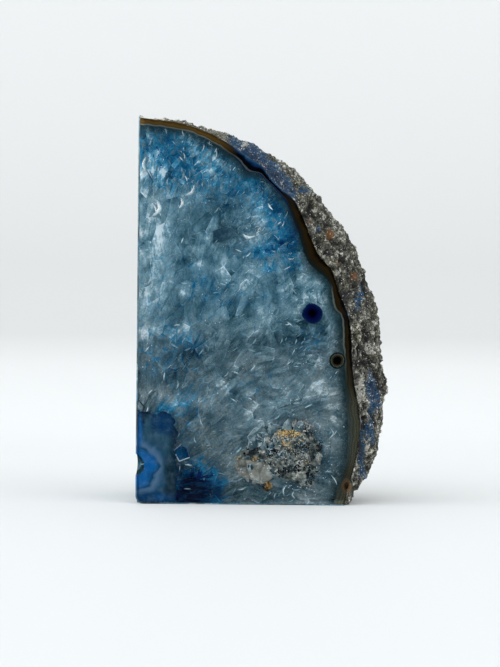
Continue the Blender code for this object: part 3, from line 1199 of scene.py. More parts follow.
@dataclass
class BandedCorner:
    """The corner of fine agate bands at the foot of the face.

    Args:
        depth: Depth behind the polished face, in millimetres.
        spacing: Distance between its points, in millimetres.
    """

    depth: float = 0.3
    spacing: float = 0.36

    BORDER = (
        (134, 409), (147, 411), (155, 413), (163, 411), (171, 413), (175, 420), (178, 430),
        (178, 440), (176, 447), (177, 458), (179, 468), (178, 478), (177, 488), (177, 506),
        (140, 506), (133, 499),
    )
    FOLD = (
        (132, 443), (138, 445), (146, 449), (153, 455), (158, 461), (161, 466.5), (158, 473),
        (153, 481), (148, 488), (140, 491), (132, 491),
    )
    BRIGHT = (
        Blob((138, 431), (1.5, 6.2), 0.0, 1.3), Blob((148, 463), (2.8, 3.4), 0.0, 1.2),
        Blob((142, 481), (2.2, 2.4), 0.0, 1.0), Blob((160, 497), (2.4, 1.6), 0.0, 0.5),
    )
    DEEP = (
        Blob((163, 423), (4.2, 4.0), -30.0, 1.3), Blob((152, 499), (9.0, 2.4), 0.0, 1.4),
        Blob((176, 468), (1.6, 6.0), 0.0, 0.3),
    )
    TEAL = (
        Blob((148, 474), (1.0, 1.4), 0.0, 0.5), Blob((173, 480), (3.0, 8.5), 0.0, 0.9),
        Blob((139, 465), (0.9, 2.0), 0.0, 1.0), Blob((168, 465), (2.0, 5.0), 0.0, 0.4),
    )
    GREY = (Blob((148, 425), (1.5, 4.4), -12.0, 1.0), Blob((161, 438), (4.4, 3.2), -20.0, 1.0), Blob((166, 462), (1.6, 5.5), 0.0, 0.8))

    def border(self) -> np.ndarray:
        """The corner's outline on the face, in millimetres."""
        ring = even(np.array(LAYOUT.path([*self.BORDER, self.BORDER[0]])), 160)[:-1]
        return np.maximum(ring, [0.25, 0.2])

    def shape(self, face: Face) -> Shape:
        """Build the corner's sheet."""
        flat, tiles = fill(self.border(), self.spacing, 3)
        kept = inside(flat, face.outline)
        ragged = distance_to(flat, np.vstack([self.border(), self.border()[:1]]))
        ragged += 0.55 * soft_noise(np.column_stack([flat, np.zeros(len(flat))]), 1.6, 3, 21)
        kept &= (ragged > 0.15) | (flat.min(1) < 1.5)
        tiles = [tile for tile in tiles if all(kept[index] for index in tile)]
        fold = spline(LAYOUT.path(self.FOLD), 90)
        hollow = np.vstack([fold, [[-3.0, fold[-1, 1]], [-3.0, fold[0, 1]]]])
        side = np.where(inside(flat, hollow), -1.0, 1.0)
        points = np.stack([flat[:, 0], np.full(len(flat), self.depth), flat[:, 1]], 1)
        points[:, 1] += 0.12 * soft_noise(points, 2.0, 2, 4)
        edge = distance_to(flat, np.vstack([self.border(), self.border()[:1]]))
        return Shape(points, tiles, {
            "fold": side * distance_to(flat, fold),
            "edge": edge,
            "bright": total(self.BRIGHT, flat),
            "deep": total(self.DEEP, flat),
            "teal": total(self.TEAL, flat),
            "grey": total(self.GREY, flat),
            "place": points,
        })

    @staticmethod
    def material() -> bpy.types.Material:
        """Finish of the corner: blue bands that follow a pale fold."""
        material, graph = new_material("banded_corner")
        fold, place = graph.attribute("fold"), graph.attribute("place", vector=True)
        wander = graph.noise(place, 0.24, 3.0)
        bend = graph.math("ADD", fold, graph.ease(wander, 0.3, 0.7, -0.6, 0.6))
        agate = graph.add("Group", {"Fold": bend}, node_tree=corner_bands())
        colour: object = agate.outputs["Color"]
        for name, tint in (
            ("grey", (0.026, 0.09, 0.145)), ("teal", (0.002, 0.018, 0.028)),
            ("deep", (0.001, 0.042, 0.125)), ("bright", (0.001, 0.12, 0.37)),
        ):
            colour = graph.mix(graph.ease(graph.attribute(name), 0.1, 0.9, 0.0, 0.9), colour, tint)
        cloud = graph.noise(place, 0.35, 4.0, 0.6)
        lines = graph.math("SINE", graph.math("MULTIPLY", bend, 7.0))
        mist = graph.math("ADD", graph.ease(cloud, 0.4, 0.75, 0.0, 0.12), graph.ease(lines, -1.0, 1.0, 0.0, 0.018))
        colour = graph.mix(mist, colour, (0.3, 0.5, 0.7))
        colour = graph.mix(graph.ease(graph.attribute("edge"), 0.0, 1.6, 0.8, 0.0), colour, (0.003, 0.02, 0.07))
        graph.surface(Base_Color=colour, Roughness=0.35, Specular_IOR_Level=0.0)
        return material


@dataclass(frozen=True)
class Eye:
    """A round ringed spot in the quartz.

    Args:
        name: The piece's name.
        pixel: Its middle in the photo.
        reach: Its radius, in millimetres.
        rings: The colours of its rings, from the middle out.
        uneven: How far its outline wanders, as a share of its radius.
        squash: Its height as a share of its width.
        bowl: Depth of its middle below its edge, in millimetres.
    """

    name: str
    pixel: Plane
    reach: float
    rings: tuple[tuple[float, Colour], ...]
    uneven: float = 0.08
    squash: float = 1.0
    bowl: float = 0.4

    EDGE = 0.11
    TURNS = 72
    STEPS = 14

    def shape(self) -> Shape:
        """Build the spot as a shallow bowl."""
        middle = np.array(LAYOUT.at(*self.pixel))
        turn = np.linspace(0.0, 2.0 * math.pi, self.TURNS, endpoint=False)
        circle = np.stack([np.cos(turn), np.zeros(self.TURNS), np.sin(turn)], 1)
        wander = 1.0 + self.uneven * soft_noise(circle, 0.9, 2, int(self.pixel[0]))
        points, ring = [[middle[0], self.EDGE + self.bowl, middle[1]]], [0.0]
        for step in range(1, self.STEPS + 1):
            share = step / self.STEPS
            for angle, bend in zip(turn, wander):
                away = self.reach * share * bend
                points.append([
                    middle[0] + away * math.cos(angle),
                    self.EDGE + self.bowl * (1.0 - share) ** 1.5,
                    middle[1] + away * math.sin(angle) * self.squash,
                ])
                ring.append(share)
        faces: list[tuple[int, ...]] = [(0, 1 + index, 1 + (index + 1) % self.TURNS) for index in range(self.TURNS)]
        for step in range(self.STEPS - 1):
            start = 1 + step * self.TURNS
            for index in range(self.TURNS):
                after = (index + 1) % self.TURNS
                faces.append((start + index, start + self.TURNS + index, start + self.TURNS + after, start + after))
        own = np.array(points)
        return Shape(own, faces, {"ring": np.array(ring), "place": own})

    def material(self) -> bpy.types.Material:
        """Finish of the spot: its rings, with a little cloud."""
        material, graph = new_material(f"{self.name}_rings")
        place = graph.attribute("place", vector=True)
        wander = graph.noise(place, 1.4, 3.0)
        ring = graph.math("ADD", graph.attribute("ring"), graph.ease(wander, 0.3, 0.7, -0.05, 0.05))
        colour = graph.ramp(ring, self.rings)
        graph.surface(Base_Color=colour, Roughness=0.4, Specular_IOR_Level=0.0)
        return material


EYES = (
    Eye("blue_eye", (312, 313), 3.75, (
        (0.0, (0.0, 0.0, 0.001)), (0.32, (0.0, 0.0, 0.004)), (0.46, (0.001, 0.002, 0.04)),
        (0.78, (0.003, 0.007, 0.05)), (0.92, (0.005, 0.018, 0.08)), (1.0, (0.014, 0.06, 0.12)),
    ), 0.14, 0.98),
    Eye("ring_eye", (337.3, 360.5), 2.95, (
        (0.0, (0.001, 0.001, 0.001)), (0.46, (0.002, 0.002, 0.002)), (0.56, (0.03, 0.027, 0.014)),
        (0.69, (0.04, 0.037, 0.02)), (0.76, (0.115, 0.12, 0.09)), (0.81, (0.006, 0.012, 0.014)),
        (1.0, (0.009, 0.026, 0.032)),
    ), 0.025),
    Eye("brown_eye", (346.5, 486), 2.1, (
        (0.0, (0.004, 0.003, 0.002)), (0.35, (0.03, 0.016, 0.007)), (0.6, (0.1, 0.06, 0.03)),
        (1.0, (0.06, 0.06, 0.04)),
    ), 0.16, 1.35, 0.0),
)


class Sheen(Enum):
    """How a painted glint on a crack or crystal face fades, as shares across its width and their strength."""

    CRESCENT = ((-1.0, 1.0), (-0.35, 0.55), (1.0, 0.0))
    STROKE = ((-1.0, 0.0), (0.0, 1.0), (1.0, 0.0))
    VEIL = ((-1.0, 0.36), (-0.6, 0.2), (1.0, 0.0))


@dataclass(frozen=True)
class Swarm:
    """A crowd of short cracks with painted glints that lean one way.

    Args:
        sheen: How each fades.
        middle: The crowd's middle in the photo's pixels.
        reach: Half the crowd's length and half its height, in pixels.
        lean: Direction of each from level, in degrees.
        count: Number of them.
        long: Usual length, in pixels.
        bright: Usual strength of their painted glint.
    """

    sheen: Sheen
    middle: Plane
    reach: Plane
    lean: float
    count: int
    long: float
    bright: float


# Crowds of cracks with painted glints
SWARMS = (
    Swarm(Sheen.CRESCENT, (186, 150), (34, 24), 100.0, 29, 6.0, 0.68),
    Swarm(Sheen.CRESCENT, (150, 168), (10, 34), 95.0, 15, 8.0, 0.54),
    Swarm(Sheen.CRESCENT, (192, 180), (14, 16), 75.0, 17, 7.0, 0.81),
    Swarm(Sheen.CRESCENT, (158, 206), (6, 12), 105.0, 4, 13.0, 0.9),
    Swarm(Sheen.CRESCENT, (190, 222), (7, 20), 100.0, 10, 7.0, 0.72),
    Swarm(Sheen.STROKE, (230, 165), (24, 16), 50.0, 21, 3.6, 0.68),
    Swarm(Sheen.STROKE, (258, 196), (16, 14), 70.0, 15, 3.2, 0.81),
    Swarm(Sheen.CRESCENT, (262, 230), (17, 13), 55.0, 27, 6.0, 0.9),
    Swarm(Sheen.CRESCENT, (280, 222), (8, 12), 55.0, 10, 5.0, 0.81),
    Swarm(Sheen.STROKE, (291, 256), (9, 6), 40.0, 10, 4.0, 0.81),
    Swarm(Sheen.CRESCENT, (226, 210), (20, 12), 60.0, 13, 7.0, 0.41),
    Swarm(Sheen.STROKE, (245, 257), (5, 4), 70.0, 3, 5.0, 0.72),
    Swarm(Sheen.CRESCENT, (174, 290), (20, 16), 60.0, 15, 6.0, 0.45),
    Swarm(Sheen.CRESCENT, (146, 290), (7, 40), 95.0, 13, 8.0, 0.36),
    Swarm(Sheen.STROKE, (225, 290), (26, 10), 30.0, 13, 6.0, 0.45),
    Swarm(Sheen.STROKE, (262, 296), (20, 8), 20.0, 9, 4.0, 0.54),
    Swarm(Sheen.STROKE, (300, 290), (14, 16), 40.0, 13, 3.4, 0.5),
    Swarm(Sheen.STROKE, (300, 335), (16, 12), 50.0, 13, 6.0, 0.54),
    Swarm(Sheen.STROKE, (292, 322), (14, 4), 10.0, 6, 7.0, 0.72),
    Swarm(Sheen.STROKE, (308, 366), (26, 9), 32.0, 35, 5.0, 0.77),
    Swarm(Sheen.CRESCENT, (296, 362), (20, 5), 12.0, 10, 7.0, 0.81),
    Swarm(Sheen.STROKE, (330, 342), (9, 16), 60.0, 15, 4.0, 0.54),
    Swarm(Sheen.STROKE, (333, 375), (8, 12), 50.0, 11, 4.0, 0.63),
    Swarm(Sheen.STROKE, (296, 402), (22, 5), 27.0, 21, 7.0, 0.72),
    Swarm(Sheen.STROKE, (245, 400), (16, 4), -38.0, 10, 5.0, 0.63),
    Swarm(Sheen.STROKE, (330, 432), (7, 9), 60.0, 6, 6.0, 0.72),
    Swarm(Sheen.STROKE, (326, 462), (12, 22), 50.0, 10, 2.6, 0.45),
    Swarm(Sheen.STROKE, (276, 494), (22, 6), 55.0, 15, 4.4, 0.5),
    Swarm(Sheen.STROKE, (210, 350), (30, 22), 40.0, 15, 6.0, 0.32),
    Swarm(Sheen.CRESCENT, (168, 380), (12, 10), 40.0, 8, 4.0, 0.54),
    Swarm(Sheen.STROKE, (215, 440), (24, 18), 45.0, 15, 4.0, 0.27),
    Swarm(Sheen.CRESCENT, (268, 440), (16, 10), 40.0, 10, 5.0, 0.54),
)


@dataclass
class Veils:
    """Healed cracks and crystal faces inside the quartz, painted white as glints where they catch the light; the faint
    veils are pale healed cracks whose whiteness is partly painted sheen.

    Args:
        strewn: Number of small ones strewn at random besides the crowds.
        depth: Least depth behind the face, in millimetres.
    """

    strewn: int = 420
    depth: float = 0.34

    # Each runs through three pixels of the photo, with its width in millimetres and the strength of its painted glint
    PLACED = (
        (Sheen.CRESCENT, (153, 217), (160, 209), (157, 199), 1.9, 1.0),
        (Sheen.CRESCENT, (179, 209), (183, 203), (181, 197), 1.3, 0.9),
        (Sheen.CRESCENT, (184, 196), (192, 193), (195, 184), 1.4, 0.7),
        (Sheen.CRESCENT, (147, 172), (144, 164), (147, 156), 1.4, 0.6),
        (Sheen.STROKE, (268, 203), (270, 207), (273, 210), 0.7, 1.0),
        (Sheen.CRESCENT, (242, 234), (248, 238), (256, 236), 1.2, 1.0),
        (Sheen.VEIL, (218, 334), (256, 325), (300, 313), 3.4, 0.7),
        (Sheen.VEIL, (236, 331), (263, 318), (292, 306), 5.6, 0.5),
        (Sheen.VEIL, (212, 336), (250, 327), (298, 316), 0.9, 0.9),
        (Sheen.VEIL, (196, 400), (215, 362), (262, 338), 6.0, 0.35),
        (Sheen.VEIL, (205, 392), (240, 366), (300, 346), 4.6, 0.35),
        (Sheen.VEIL, (250, 430), (285, 415), (330, 394), 5.0, 0.5),
        (Sheen.VEIL, (262, 412), (296, 398), (345, 384), 4.0, 0.5),
        (Sheen.VEIL, (266, 412), (284, 405), (306, 396), 1.0, 0.9),
        (Sheen.VEIL, (216, 445), (238, 432), (262, 424), 5.4, 0.4),
        (Sheen.VEIL, (254, 385), (262, 388), (270, 384), 6.0, 0.5),
        (Sheen.VEIL, (272, 378), (290, 362), (300, 352), 3.4, 0.4),
        (Sheen.VEIL, (172, 262), (176, 236), (186, 214), 3.4, 0.45),
        (Sheen.VEIL, (164, 268), (167, 246), (172, 226), 2.4, 0.35),
        (Sheen.VEIL, (212, 246), (226, 247), (238, 240), 3.0, 0.5),
        (Sheen.VEIL, (238, 240), (241, 234), (238, 227), 2.0, 0.5),
        (Sheen.VEIL, (213, 230), (226, 224), (240, 225), 2.2, 0.4),
        (Sheen.VEIL, (146, 330), (142, 280), (146, 230), 5.0, 0.35),
        (Sheen.VEIL, (150, 232), (148, 200), (152, 176), 3.8, 0.35),
        (Sheen.VEIL, (196, 322), (212, 306), (236, 296), 3.4, 0.4),
        (Sheen.VEIL, (152, 330), (160, 308), (176, 296), 4.0, 0.4),
        (Sheen.VEIL, (186, 300), (180, 278), (190, 262), 3.0, 0.3),
        (Sheen.VEIL, (180, 396), (182, 372), (196, 350), 3.0, 0.3),
        (Sheen.VEIL, (246, 262), (254, 276), (248, 292), 3.0, 0.3),
        (Sheen.VEIL, (290, 285), (302, 296), (306, 304), 2.6, 0.35),
        (Sheen.CRESCENT, (329, 427), (333, 433), (329, 439), 0.5, 0.7),
        (Sheen.STROKE, (331, 475), (335, 480), (337, 485), 0.5, 0.6),
        (Sheen.CRESCENT, (286, 485), (283, 490), (284, 496), 0.7, 0.6),
        (Sheen.CRESCENT, (294, 491), (292, 495), (295, 499), 0.6, 0.6),
        (Sheen.STROKE, (138, 399), (141, 403), (145, 408), 0.4, -1.0),
        (Sheen.CRESCENT, (141.5, 457.5), (145.3, 464.8), (142, 472), 0.16, 0.8),
    )

    def shape(self, face: Face, quartz: Quartz, faint: bool) -> Shape:
        """Build the cracks with painted glints, or the faint veils with partly painted sheen, in front of the crystals.
        """
        rng = random.Random(23)
        sheet = Shape(np.empty((0, 3)), [])
        rows: list[np.ndarray] = []
        fade: list[float] = []
        for sheen, first, second, third, width, bright in self.PLACED:
            path = spline(LAYOUT.path([first, second, third]), 14)
            if (sheen is Sheen.VEIL) is faint:
                self.strip(path, sheen, width, self.depth + 0.1, bright, rng, rows, fade, sheet.faces)
        asked: list[tuple[Plane, Sheen, float, float, float]] = []
        for swarm in SWARMS:
            for _ in range(swarm.count):
                place = LAYOUT.at(
                    swarm.middle[0] + rng.gauss(0.0, 0.5) * swarm.reach[0],
                    swarm.middle[1] + rng.gauss(0.0, 0.5) * swarm.reach[1],
                )
                turn = math.radians(swarm.lean + rng.gauss(0.0, 24.0))
                long = swarm.long / LAYOUT.scale * rng.uniform(0.2, 1.25)
                asked.append((place, swarm.sheen, turn, long, swarm.bright * (0.15 + 1.1 * rng.random() ** 1.6)))
        growth = Growth()
        for _ in range(self.strewn):
            place = (rng.uniform(1.5, 78.0), rng.uniform(1.5, 134.0))
            turn = math.atan2(place[1] - growth.meeting[1], place[0] - growth.meeting[0])
            turn += rng.choice([0.0, 0.0, math.pi / 2]) + rng.uniform(-0.5, 0.5)
            sheen, long = rng.choice([*Sheen, Sheen.VEIL]), rng.uniform(0.8, 3.4)
            asked.append((place, sheen, turn, long * (3.0 if sheen is Sheen.VEIL else 1.0), rng.uniform(0.15, 0.65)))
        places = np.array([place for place, *_ in asked])
        room = inside(places, quartz.quartz_outline(face)) & (face.from_rim(places) > 0.8)
        for place, fits, (_, sheen, turn, long, bright) in zip(places, room, asked):
            if fits and (sheen is Sheen.VEIL) is faint:
                share = rng.uniform(0.3, 0.6) if sheen is Sheen.VEIL else rng.uniform(0.1, 0.26)
                path = self.arc(place, turn, long, rng.uniform(-0.15, 0.15))
                self.strip(path, sheen, 1.6 if faint and long * share > 1.6 else max(long * share, 0.13), self.depth + rng.uniform(0.0, 0.5), bright, rng, rows, fade, sheet.faces)
        sheet.points = np.vstack(rows)
        sheet.marks = {"fade": np.array(fade), "place": sheet.points}
        return sheet

    @staticmethod
    def arc(place: np.ndarray, turn: float, long: float, bend: float) -> np.ndarray:
        """Bend a short line.

        Args:
            place: Its middle on the face, in millimetres.
            turn: Its direction from level, in radians.
            long: Its length, in millimetres.
            bend: Height of its bow as a share of its length.

        Returns:
            Points along it.
        """
        run = np.array([math.cos(turn), math.sin(turn)])
        side = np.array([-run[1], run[0]])
        share = np.linspace(-0.5, 0.5, 7)[:, None]
        return place + run * long * share + side * bend * long * (1.0 - (2.0 * share) ** 2)

    @staticmethod
    def strip(path: np.ndarray, sheen: Sheen, width: float, depth: float, bright: float, rng: random.Random,
              rows: list[np.ndarray], fade: list[float], faces: list[tuple[int, ...]]) -> None:
        """Add one crack with a painted glint that fades at its ends.

        Args:
            path: Its line on the face, in millimetres.
            sheen: How it fades across its width.
            width: Its greatest width, in millimetres.
            depth: Its depth behind the face, in millimetres.
            bright: The strength of its painted glint.
            rng: Source of its unevenness.
            rows: The points, added to.
            fade: The points' strength, added to.
            faces: The faces, added to.
        """
        run = np.gradient(path, axis=0)
        side = np.stack([-run[:, 1], run[:, 0]], 1)
        side /= np.maximum(np.linalg.norm(side, axis=1)[:, None], 1e-9)
        start = len(fade)
        count = len(path)
        taper = np.sin(np.pi * np.linspace(0.0, 1.0, count))
        uneven = np.array([rng.uniform(0.8, 1.2) for _ in range(count)])
        flip = rng.choice([-1.0, 1.0]) if sheen is Sheen.STROKE else -1.0
        for across, strength in sheen.value:
            at = path + side * (flip * across * 0.5 * width * (0.35 + 0.65 * taper) * uneven)[:, None]
            at = np.maximum(at, 0.35)
            rows.append(np.stack([at[:, 0], np.full(count, depth + 0.12 * across), at[:, 1]], 1))
            fade += list(bright * strength * np.sqrt(taper))
        for row in range(len(sheen.value) - 1):
            for index in range(count - 1):
                corner = start + row * count + index
                faces.append((corner, corner + count, corner + count + 1, corner + 1))

    @staticmethod
    def material(faint: bool) -> bpy.types.Material:
        """Finish of the cracks or the veils: painted white glints, or pale veils with partly painted sheen, that fade
        into the quartz.
        """
        material, graph = new_material("veils_painted_sheen" if faint else "cracks_painted_glints")
        fade, place = graph.attribute("fade"), graph.attribute("place", vector=True)
        broken = graph.noise(place, 2.6, 3.0, 0.6)
        shine = graph.math("MULTIPLY", fade, graph.ease(broken, 0.3, 0.6, 0.6, 1.7))
        if faint:
            # Pale healed veils, their whiteness partly painted sheen.
            white = graph.mix(graph.ease(fade, 0.1, 0.5), (0.3, 0.52, 0.62), (0.9, 1.0, 1.0))
            graph.surface(Base_Color=white, Roughness=0.45, Specular_IOR_Level=0.0, Alpha=graph.math("MINIMUM", shine, 1.0))
            return material
        # Painted glints: the cracks run from dark quartz to white by strength.
        colour = graph.ramp(graph.ease(shine, -1.0, 1.0), [
            (0.0, (0.003, 0.015, 0.04)), (0.4, (0.02, 0.07, 0.11)), (0.5, (0.11, 0.22, 0.27)),
            (0.64, (0.22, 0.37, 0.43)), (0.8, (0.5, 0.68, 0.73)), (0.95, (1.0, 1.0, 1.0)),
        ])
        graph.surface(Base_Color=colour, Roughness=0.45, Specular_IOR_Level=0.1)
        return material


@dataclass(frozen=True)
class Crystal:
    """A single crystal seen whole in the quartz, cut to facets that meet at a point.

    Args:
        ring: Its outline in the photo's pixels.
        point: Where its facets meet, in the photo's pixels.
        rise: How far that point stands towards the polished face, in millimetres.
        tones: The brightness of its facets in turn, from 0 to 1.
        dye: Its blueness, from 0 to 1.
        lit: The strength of the painted highlight on its outline beside each facet in turn, from 0 to 1.
    """

    ring: tuple[Plane, ...]
    point: Plane
    rise: float
    tones: tuple[float, ...]
    dye: float = 0.1
    lit: tuple[float, ...] = ()


@dataclass
class CrystalSet:
    """The few crystals that stand out from the rest.

    Args:
        base: Depth of their outlines behind the face, in millimetres.
        crowd: Number of small ones round the dark inclusion.
    """

    base: float = 0.85
    crowd: int = 46

    CHOSEN = (
        Crystal(((213, 231), (224, 227), (237, 228), (234, 238), (224, 241), (213, 243)), (222, 235), 0.3,
                (0.22, 0.28, 0.36, 0.3, 0.22, 0.18), 0.35),
        Crystal(((173, 450.5), (179, 461.7), (190, 457.7), (187, 448), (181, 444)), (182.5, 453.5), -0.35,
                (0.34, 0.2, 0.12, 0.16, 0.24), 2.3, (1.0, 1.0, 0.15, 0.1, 0.4)),
        Crystal(((247, 449), (249, 440), (256, 433), (263, 436), (261, 443), (254, 450)), (255, 441), 0.3,
                (0.5, 0.66, 0.36, 0.24, 0.26, 0.34), 0.0, (0.6, 1.0, 0.3, 0.1, 0.0, 0.1)),
        Crystal(((281, 430), (284, 423), (288, 419), (291, 424), (292, 430)), (287, 425), 0.3,
                (0.7, 0.85, 0.62, 0.55, 0.66), 0.0),
        Crystal(((293, 430), (295, 423), (301, 421), (306, 424), (304, 431), (298, 433)), (300, 426), 0.3,
                (0.5, 0.66, 0.72, 0.5, 0.4, 0.46), 0.0, (0.3, 0.7, 0.4, 0.0, 0.0, 0.0)),
        Crystal(((264, 437), (266, 429), (273, 424), (280, 425), (277, 432), (270, 437)), (272, 430), 0.3,
                (0.56, 0.7, 0.6, 0.42, 0.36, 0.44), 0.0, (0.4, 0.9, 0.5, 0.0, 0.0, 0.0)),
        Crystal(((247, 437), (254, 428), (262, 426), (262, 431), (254, 436), (249, 441)), (256, 432), 0.3,
                (0.66, 0.74, 0.5, 0.4, 0.44, 0.5), 0.0, (0.8, 0.6, 0.0, 0.0, 0.0, 0.3)),
        Crystal(((260, 437), (262, 431), (268, 430), (267, 435), (263, 438)), (264, 434), 0.25,
                (0.66, 0.58, 0.45, 0.4, 0.62), 0.0),
        Crystal(((261, 449), (262, 444), (266, 443), (267, 448), (264, 451)), (264, 447), 0.25,
                (0.6, 0.7, 0.5, 0.4, 0.55), 0.0),
    )

    def shape(self) -> Shape:
        """Build the crystals' facets."""
        points: list[list[float]] = []
        faces: list[tuple[int, ...]] = []
        edge: list[float] = []
        facet: list[float] = []
        dye: list[float] = []
        lit: list[float] = []
        for crystal in [*self.CHOSEN, *self.small()]:
            start, count = len(points), len(crystal.ring)
            for pixel in crystal.ring:
                flat = LAYOUT.at(*pixel)
                points.append([flat[0], self.base, flat[1]])
            flat = LAYOUT.at(*crystal.point)
            points.append([flat[0], self.base - crystal.rise, flat[1]])
            edge += [0.0] * count + [1.0]
            dye += [crystal.dye] * (count + 1)
            for index in range(count):
                faces.append((start + index, start + (index + 1) % count, start + count))
                facet.append(crystal.tones[index])
                lit.append(crystal.lit[index] if crystal.lit else 0.0)
        own = np.array(points)
        marks = {"edge": np.array(edge), "dye": np.array(dye), "place": own}
        return Shape(own, faces, marks, {"facet": np.array(facet), "lit": np.array(lit)})

    def small(self) -> list[Crystal]:
        """Grow the small crystals crowded round the dark inclusion."""
        rng = random.Random(41)
        grown = []
        for _ in range(self.crowd):
            column, row = rng.gauss(280.0, 17.0), rng.gauss(446.0, 12.0)
            sides, reach = rng.choice((4, 5, 5, 6)), rng.uniform(1.4, 4.6)
            start, squash = rng.uniform(0.0, 6.3), rng.uniform(0.5, 1.0)
            ring = []
            for side in range(sides):
                angle = start + 2.0 * math.pi * side / sides
                far = reach * rng.uniform(0.75, 1.2)
                ring.append((column + far * math.cos(angle), row + squash * far * math.sin(angle)))
            grown.append(Crystal(
                tuple(ring), (column + reach * rng.uniform(-0.5, 0.5), row + reach * rng.uniform(-0.4, 0.4)),
                rng.uniform(0.2, 0.5), tuple(rng.choice((0.2, 0.35, 0.5, 0.8)) for _ in ring),
                0.0, tuple(rng.choice((0.0, 0.0, 0.4, 0.9)) for _ in ring),
            ))
        return grown

    @staticmethod
    def material() -> bpy.types.Material:
        """Finish of the crystals: even facets with painted highlights along some edges."""
        material, graph = new_material("single_crystals")
        place = graph.attribute("place", vector=True)
        cloud = graph.noise(place, 1.2, 4.0, 0.6)
        tone = graph.math("ADD", graph.attribute("facet"), graph.ease(cloud, 0.3, 0.7, -0.12, 0.12))
        line = graph.ease(graph.attribute("edge"), 0.07, 0.15, 1.0, 0.0)
        quartz = graph.add("Group", {"Tone": tone, "Dye": graph.attribute("dye"), "Green": 0.7}, node_tree=quartz_tints())
        # Painted highlight: white along the outline beside the facets marked lit.
        white = graph.math("MULTIPLY", line, graph.math("MULTIPLY", graph.attribute("lit"), graph.ease(cloud, 0.3, 0.5, 0.6, 1.0)))
        colour = graph.mix(white, quartz.outputs["Color"], (0.65, 0.8, 0.88))
        graph.surface(Base_Color=colour, Roughness=0.25, Specular_IOR_Level=0.0)
        return material


@dataclass(frozen=True)
class Bed:
    """A patch of foreign rock or mineral enclosed in the quartz.

    Args:
        name: The piece's name.
        ring: Its outline in the photo's pixels.
        depth: Its depth behind the face, in millimetres.
        rough: Height of its roughness, in millimetres.
        tints: Its colours, from the darkest to the palest.
        grain: Width of its speckles, in millimetres.
    """

    name: str
    ring: tuple[Plane, ...]
    depth: float
    rough: float
    tints: tuple[tuple[float, Colour], ...]
    grain: float

    def shape(self) -> Shape:
        """Build the patch's rough sheet, sinking at its border."""
        ring = np.array(LAYOUT.path(self.ring))
        ring = spline([tuple(place) for place in np.vstack([ring, ring[:1]])], 90)[:-1]
        ring += 0.45 * np.stack([
            soft_noise(np.column_stack([ring, np.zeros(len(ring))]), 2.2, 2, seed) for seed in (3, 8)
        ], 1)
        flat, tiles = fill(ring, 0.34, 9)
        edge = distance_to(flat, np.vstack([ring, ring[:1]]))
        place = np.stack([flat[:, 0], np.zeros(len(flat)), flat[:, 1]], 1)
        near, after, tone, _ = cell_noise(place, self.grain * 2.2, 17)
        kept = edge + 0.9 * soft_noise(place, 1.3, 3, 12) > 0.35
        tiles = [tile for tile in tiles if all(kept[index] for index in tile)]
        lift = self.rough * (0.6 * soft_noise(place, 2.4, 3, 6) + (0.5 - near) * (0.5 + tone))
        place[:, 1] = np.maximum(self.depth - lift + 0.9 * (1.0 - smooth(edge, 0.0, 1.2)), 0.3)
        return Shape(place, tiles, {
            "edge": edge, "place": place, "grain": tone, "seam": after - near,
        })

    def material(self) -> bpy.types.Material:
        """Finish of the patch: speckled mineral."""
        material, graph = new_material(f"{self.name}_mineral")
        place, grain = graph.attribute("place", vector=True), graph.attribute("grain")
        speck = graph.cells(place, 1.0 / self.grain)
        fine = graph.noise(place, 0.9 / self.grain, 4.0, 0.6)
        tone = graph.math("ADD", graph.math("MULTIPLY", speck.outputs["Color"], 0.42), graph.math("MULTIPLY", grain, 0.3))
        tone = graph.math("ADD", tone, graph.ease(fine, 0.3, 0.7, 0.0, 0.3))
        cloud = graph.noise(place, 0.4 / self.grain, 3.0)
        tone = graph.math("ADD", tone, graph.ease(cloud, 0.35, 0.65, -0.14, 0.14))
        colour = graph.ramp(tone, self.tints)
        seam = graph.ease(graph.attribute("seam"), 0.0, 0.12, 0.5, 0.0)
        colour = graph.mix(seam, colour, self.tints[0][1])
        graph.surface(Base_Color=colour, Roughness=0.5, Specular_IOR_Level=0.0, Normal=graph.bump(fine, 0.0003, 0.7))
        return material


BEDS = (
    Bed("dark_inclusion", (
        (240, 454), (246, 446), (256, 441), (266, 434), (278, 428), (292, 419), (306, 423), (315, 433),
        (322, 446), (324, 458), (320, 470), (316, 484), (304, 488), (292, 482), (280, 480), (268, 470), (252, 462),
    ), 1.0, 0.5, (
        (0.14, (0.003, 0.008, 0.014)), (0.32, (0.036, 0.052, 0.058)), (0.48, (0.12, 0.138, 0.128)),
        (0.68, (0.27, 0.285, 0.25)), (0.88, (0.66, 0.67, 0.62)),
    ), 1.2),
    Bed("tan_inclusion", (
        (233, 465), (238, 458), (250, 459), (262, 459), (271, 463), (274, 471), (273, 481), (266, 486),
        (257, 485), (247, 482), (240, 478), (235, 472),
    ), 0.75, 0.6, (
        (0.14, (0.07, 0.075, 0.065)), (0.38, (0.2, 0.205, 0.18)), (0.6, (0.31, 0.31, 0.275)), (0.86, (0.56, 0.55, 0.5)),
    ), 2.0),
    Bed("brown_inclusion", ((262, 482), (268, 479), (274, 482), (274, 488), (268, 491), (262, 488)), 0.7, 0.3, (
        (0.1, (0.012, 0.007, 0.003)), (0.45, (0.07, 0.035, 0.01)), (0.7, (0.24, 0.13, 0.035)), (0.95, (0.5, 0.4, 0.26)),
    ), 0.6),
    Bed("pale_inclusion", ((290, 421), (298, 418), (308, 421), (313, 428), (308, 433), (298, 432), (291, 429)), 0.8, 0.5, (
        (0.14, (0.03, 0.035, 0.036)), (0.4, (0.14, 0.145, 0.14)), (0.64, (0.33, 0.33, 0.315)), (0.88, (0.75, 0.75, 0.73)),
    ), 1.1),
)


@dataclass(frozen=True)
class Strewn:
    """A drift of small grains of one kind.

    Args:
        grit: The grains' kind.
        middle: The drift's middle in the photo's pixels.
        reach: Half the drift's length and half its width, in pixels.
        turn: Turn of its length from level, in degrees.
        count: Number of grains.
        size: A grain's width, in millimetres.
    """

    grit: Grit
    middle: Plane
    reach: Plane
    turn: float
    count: int
    size: float


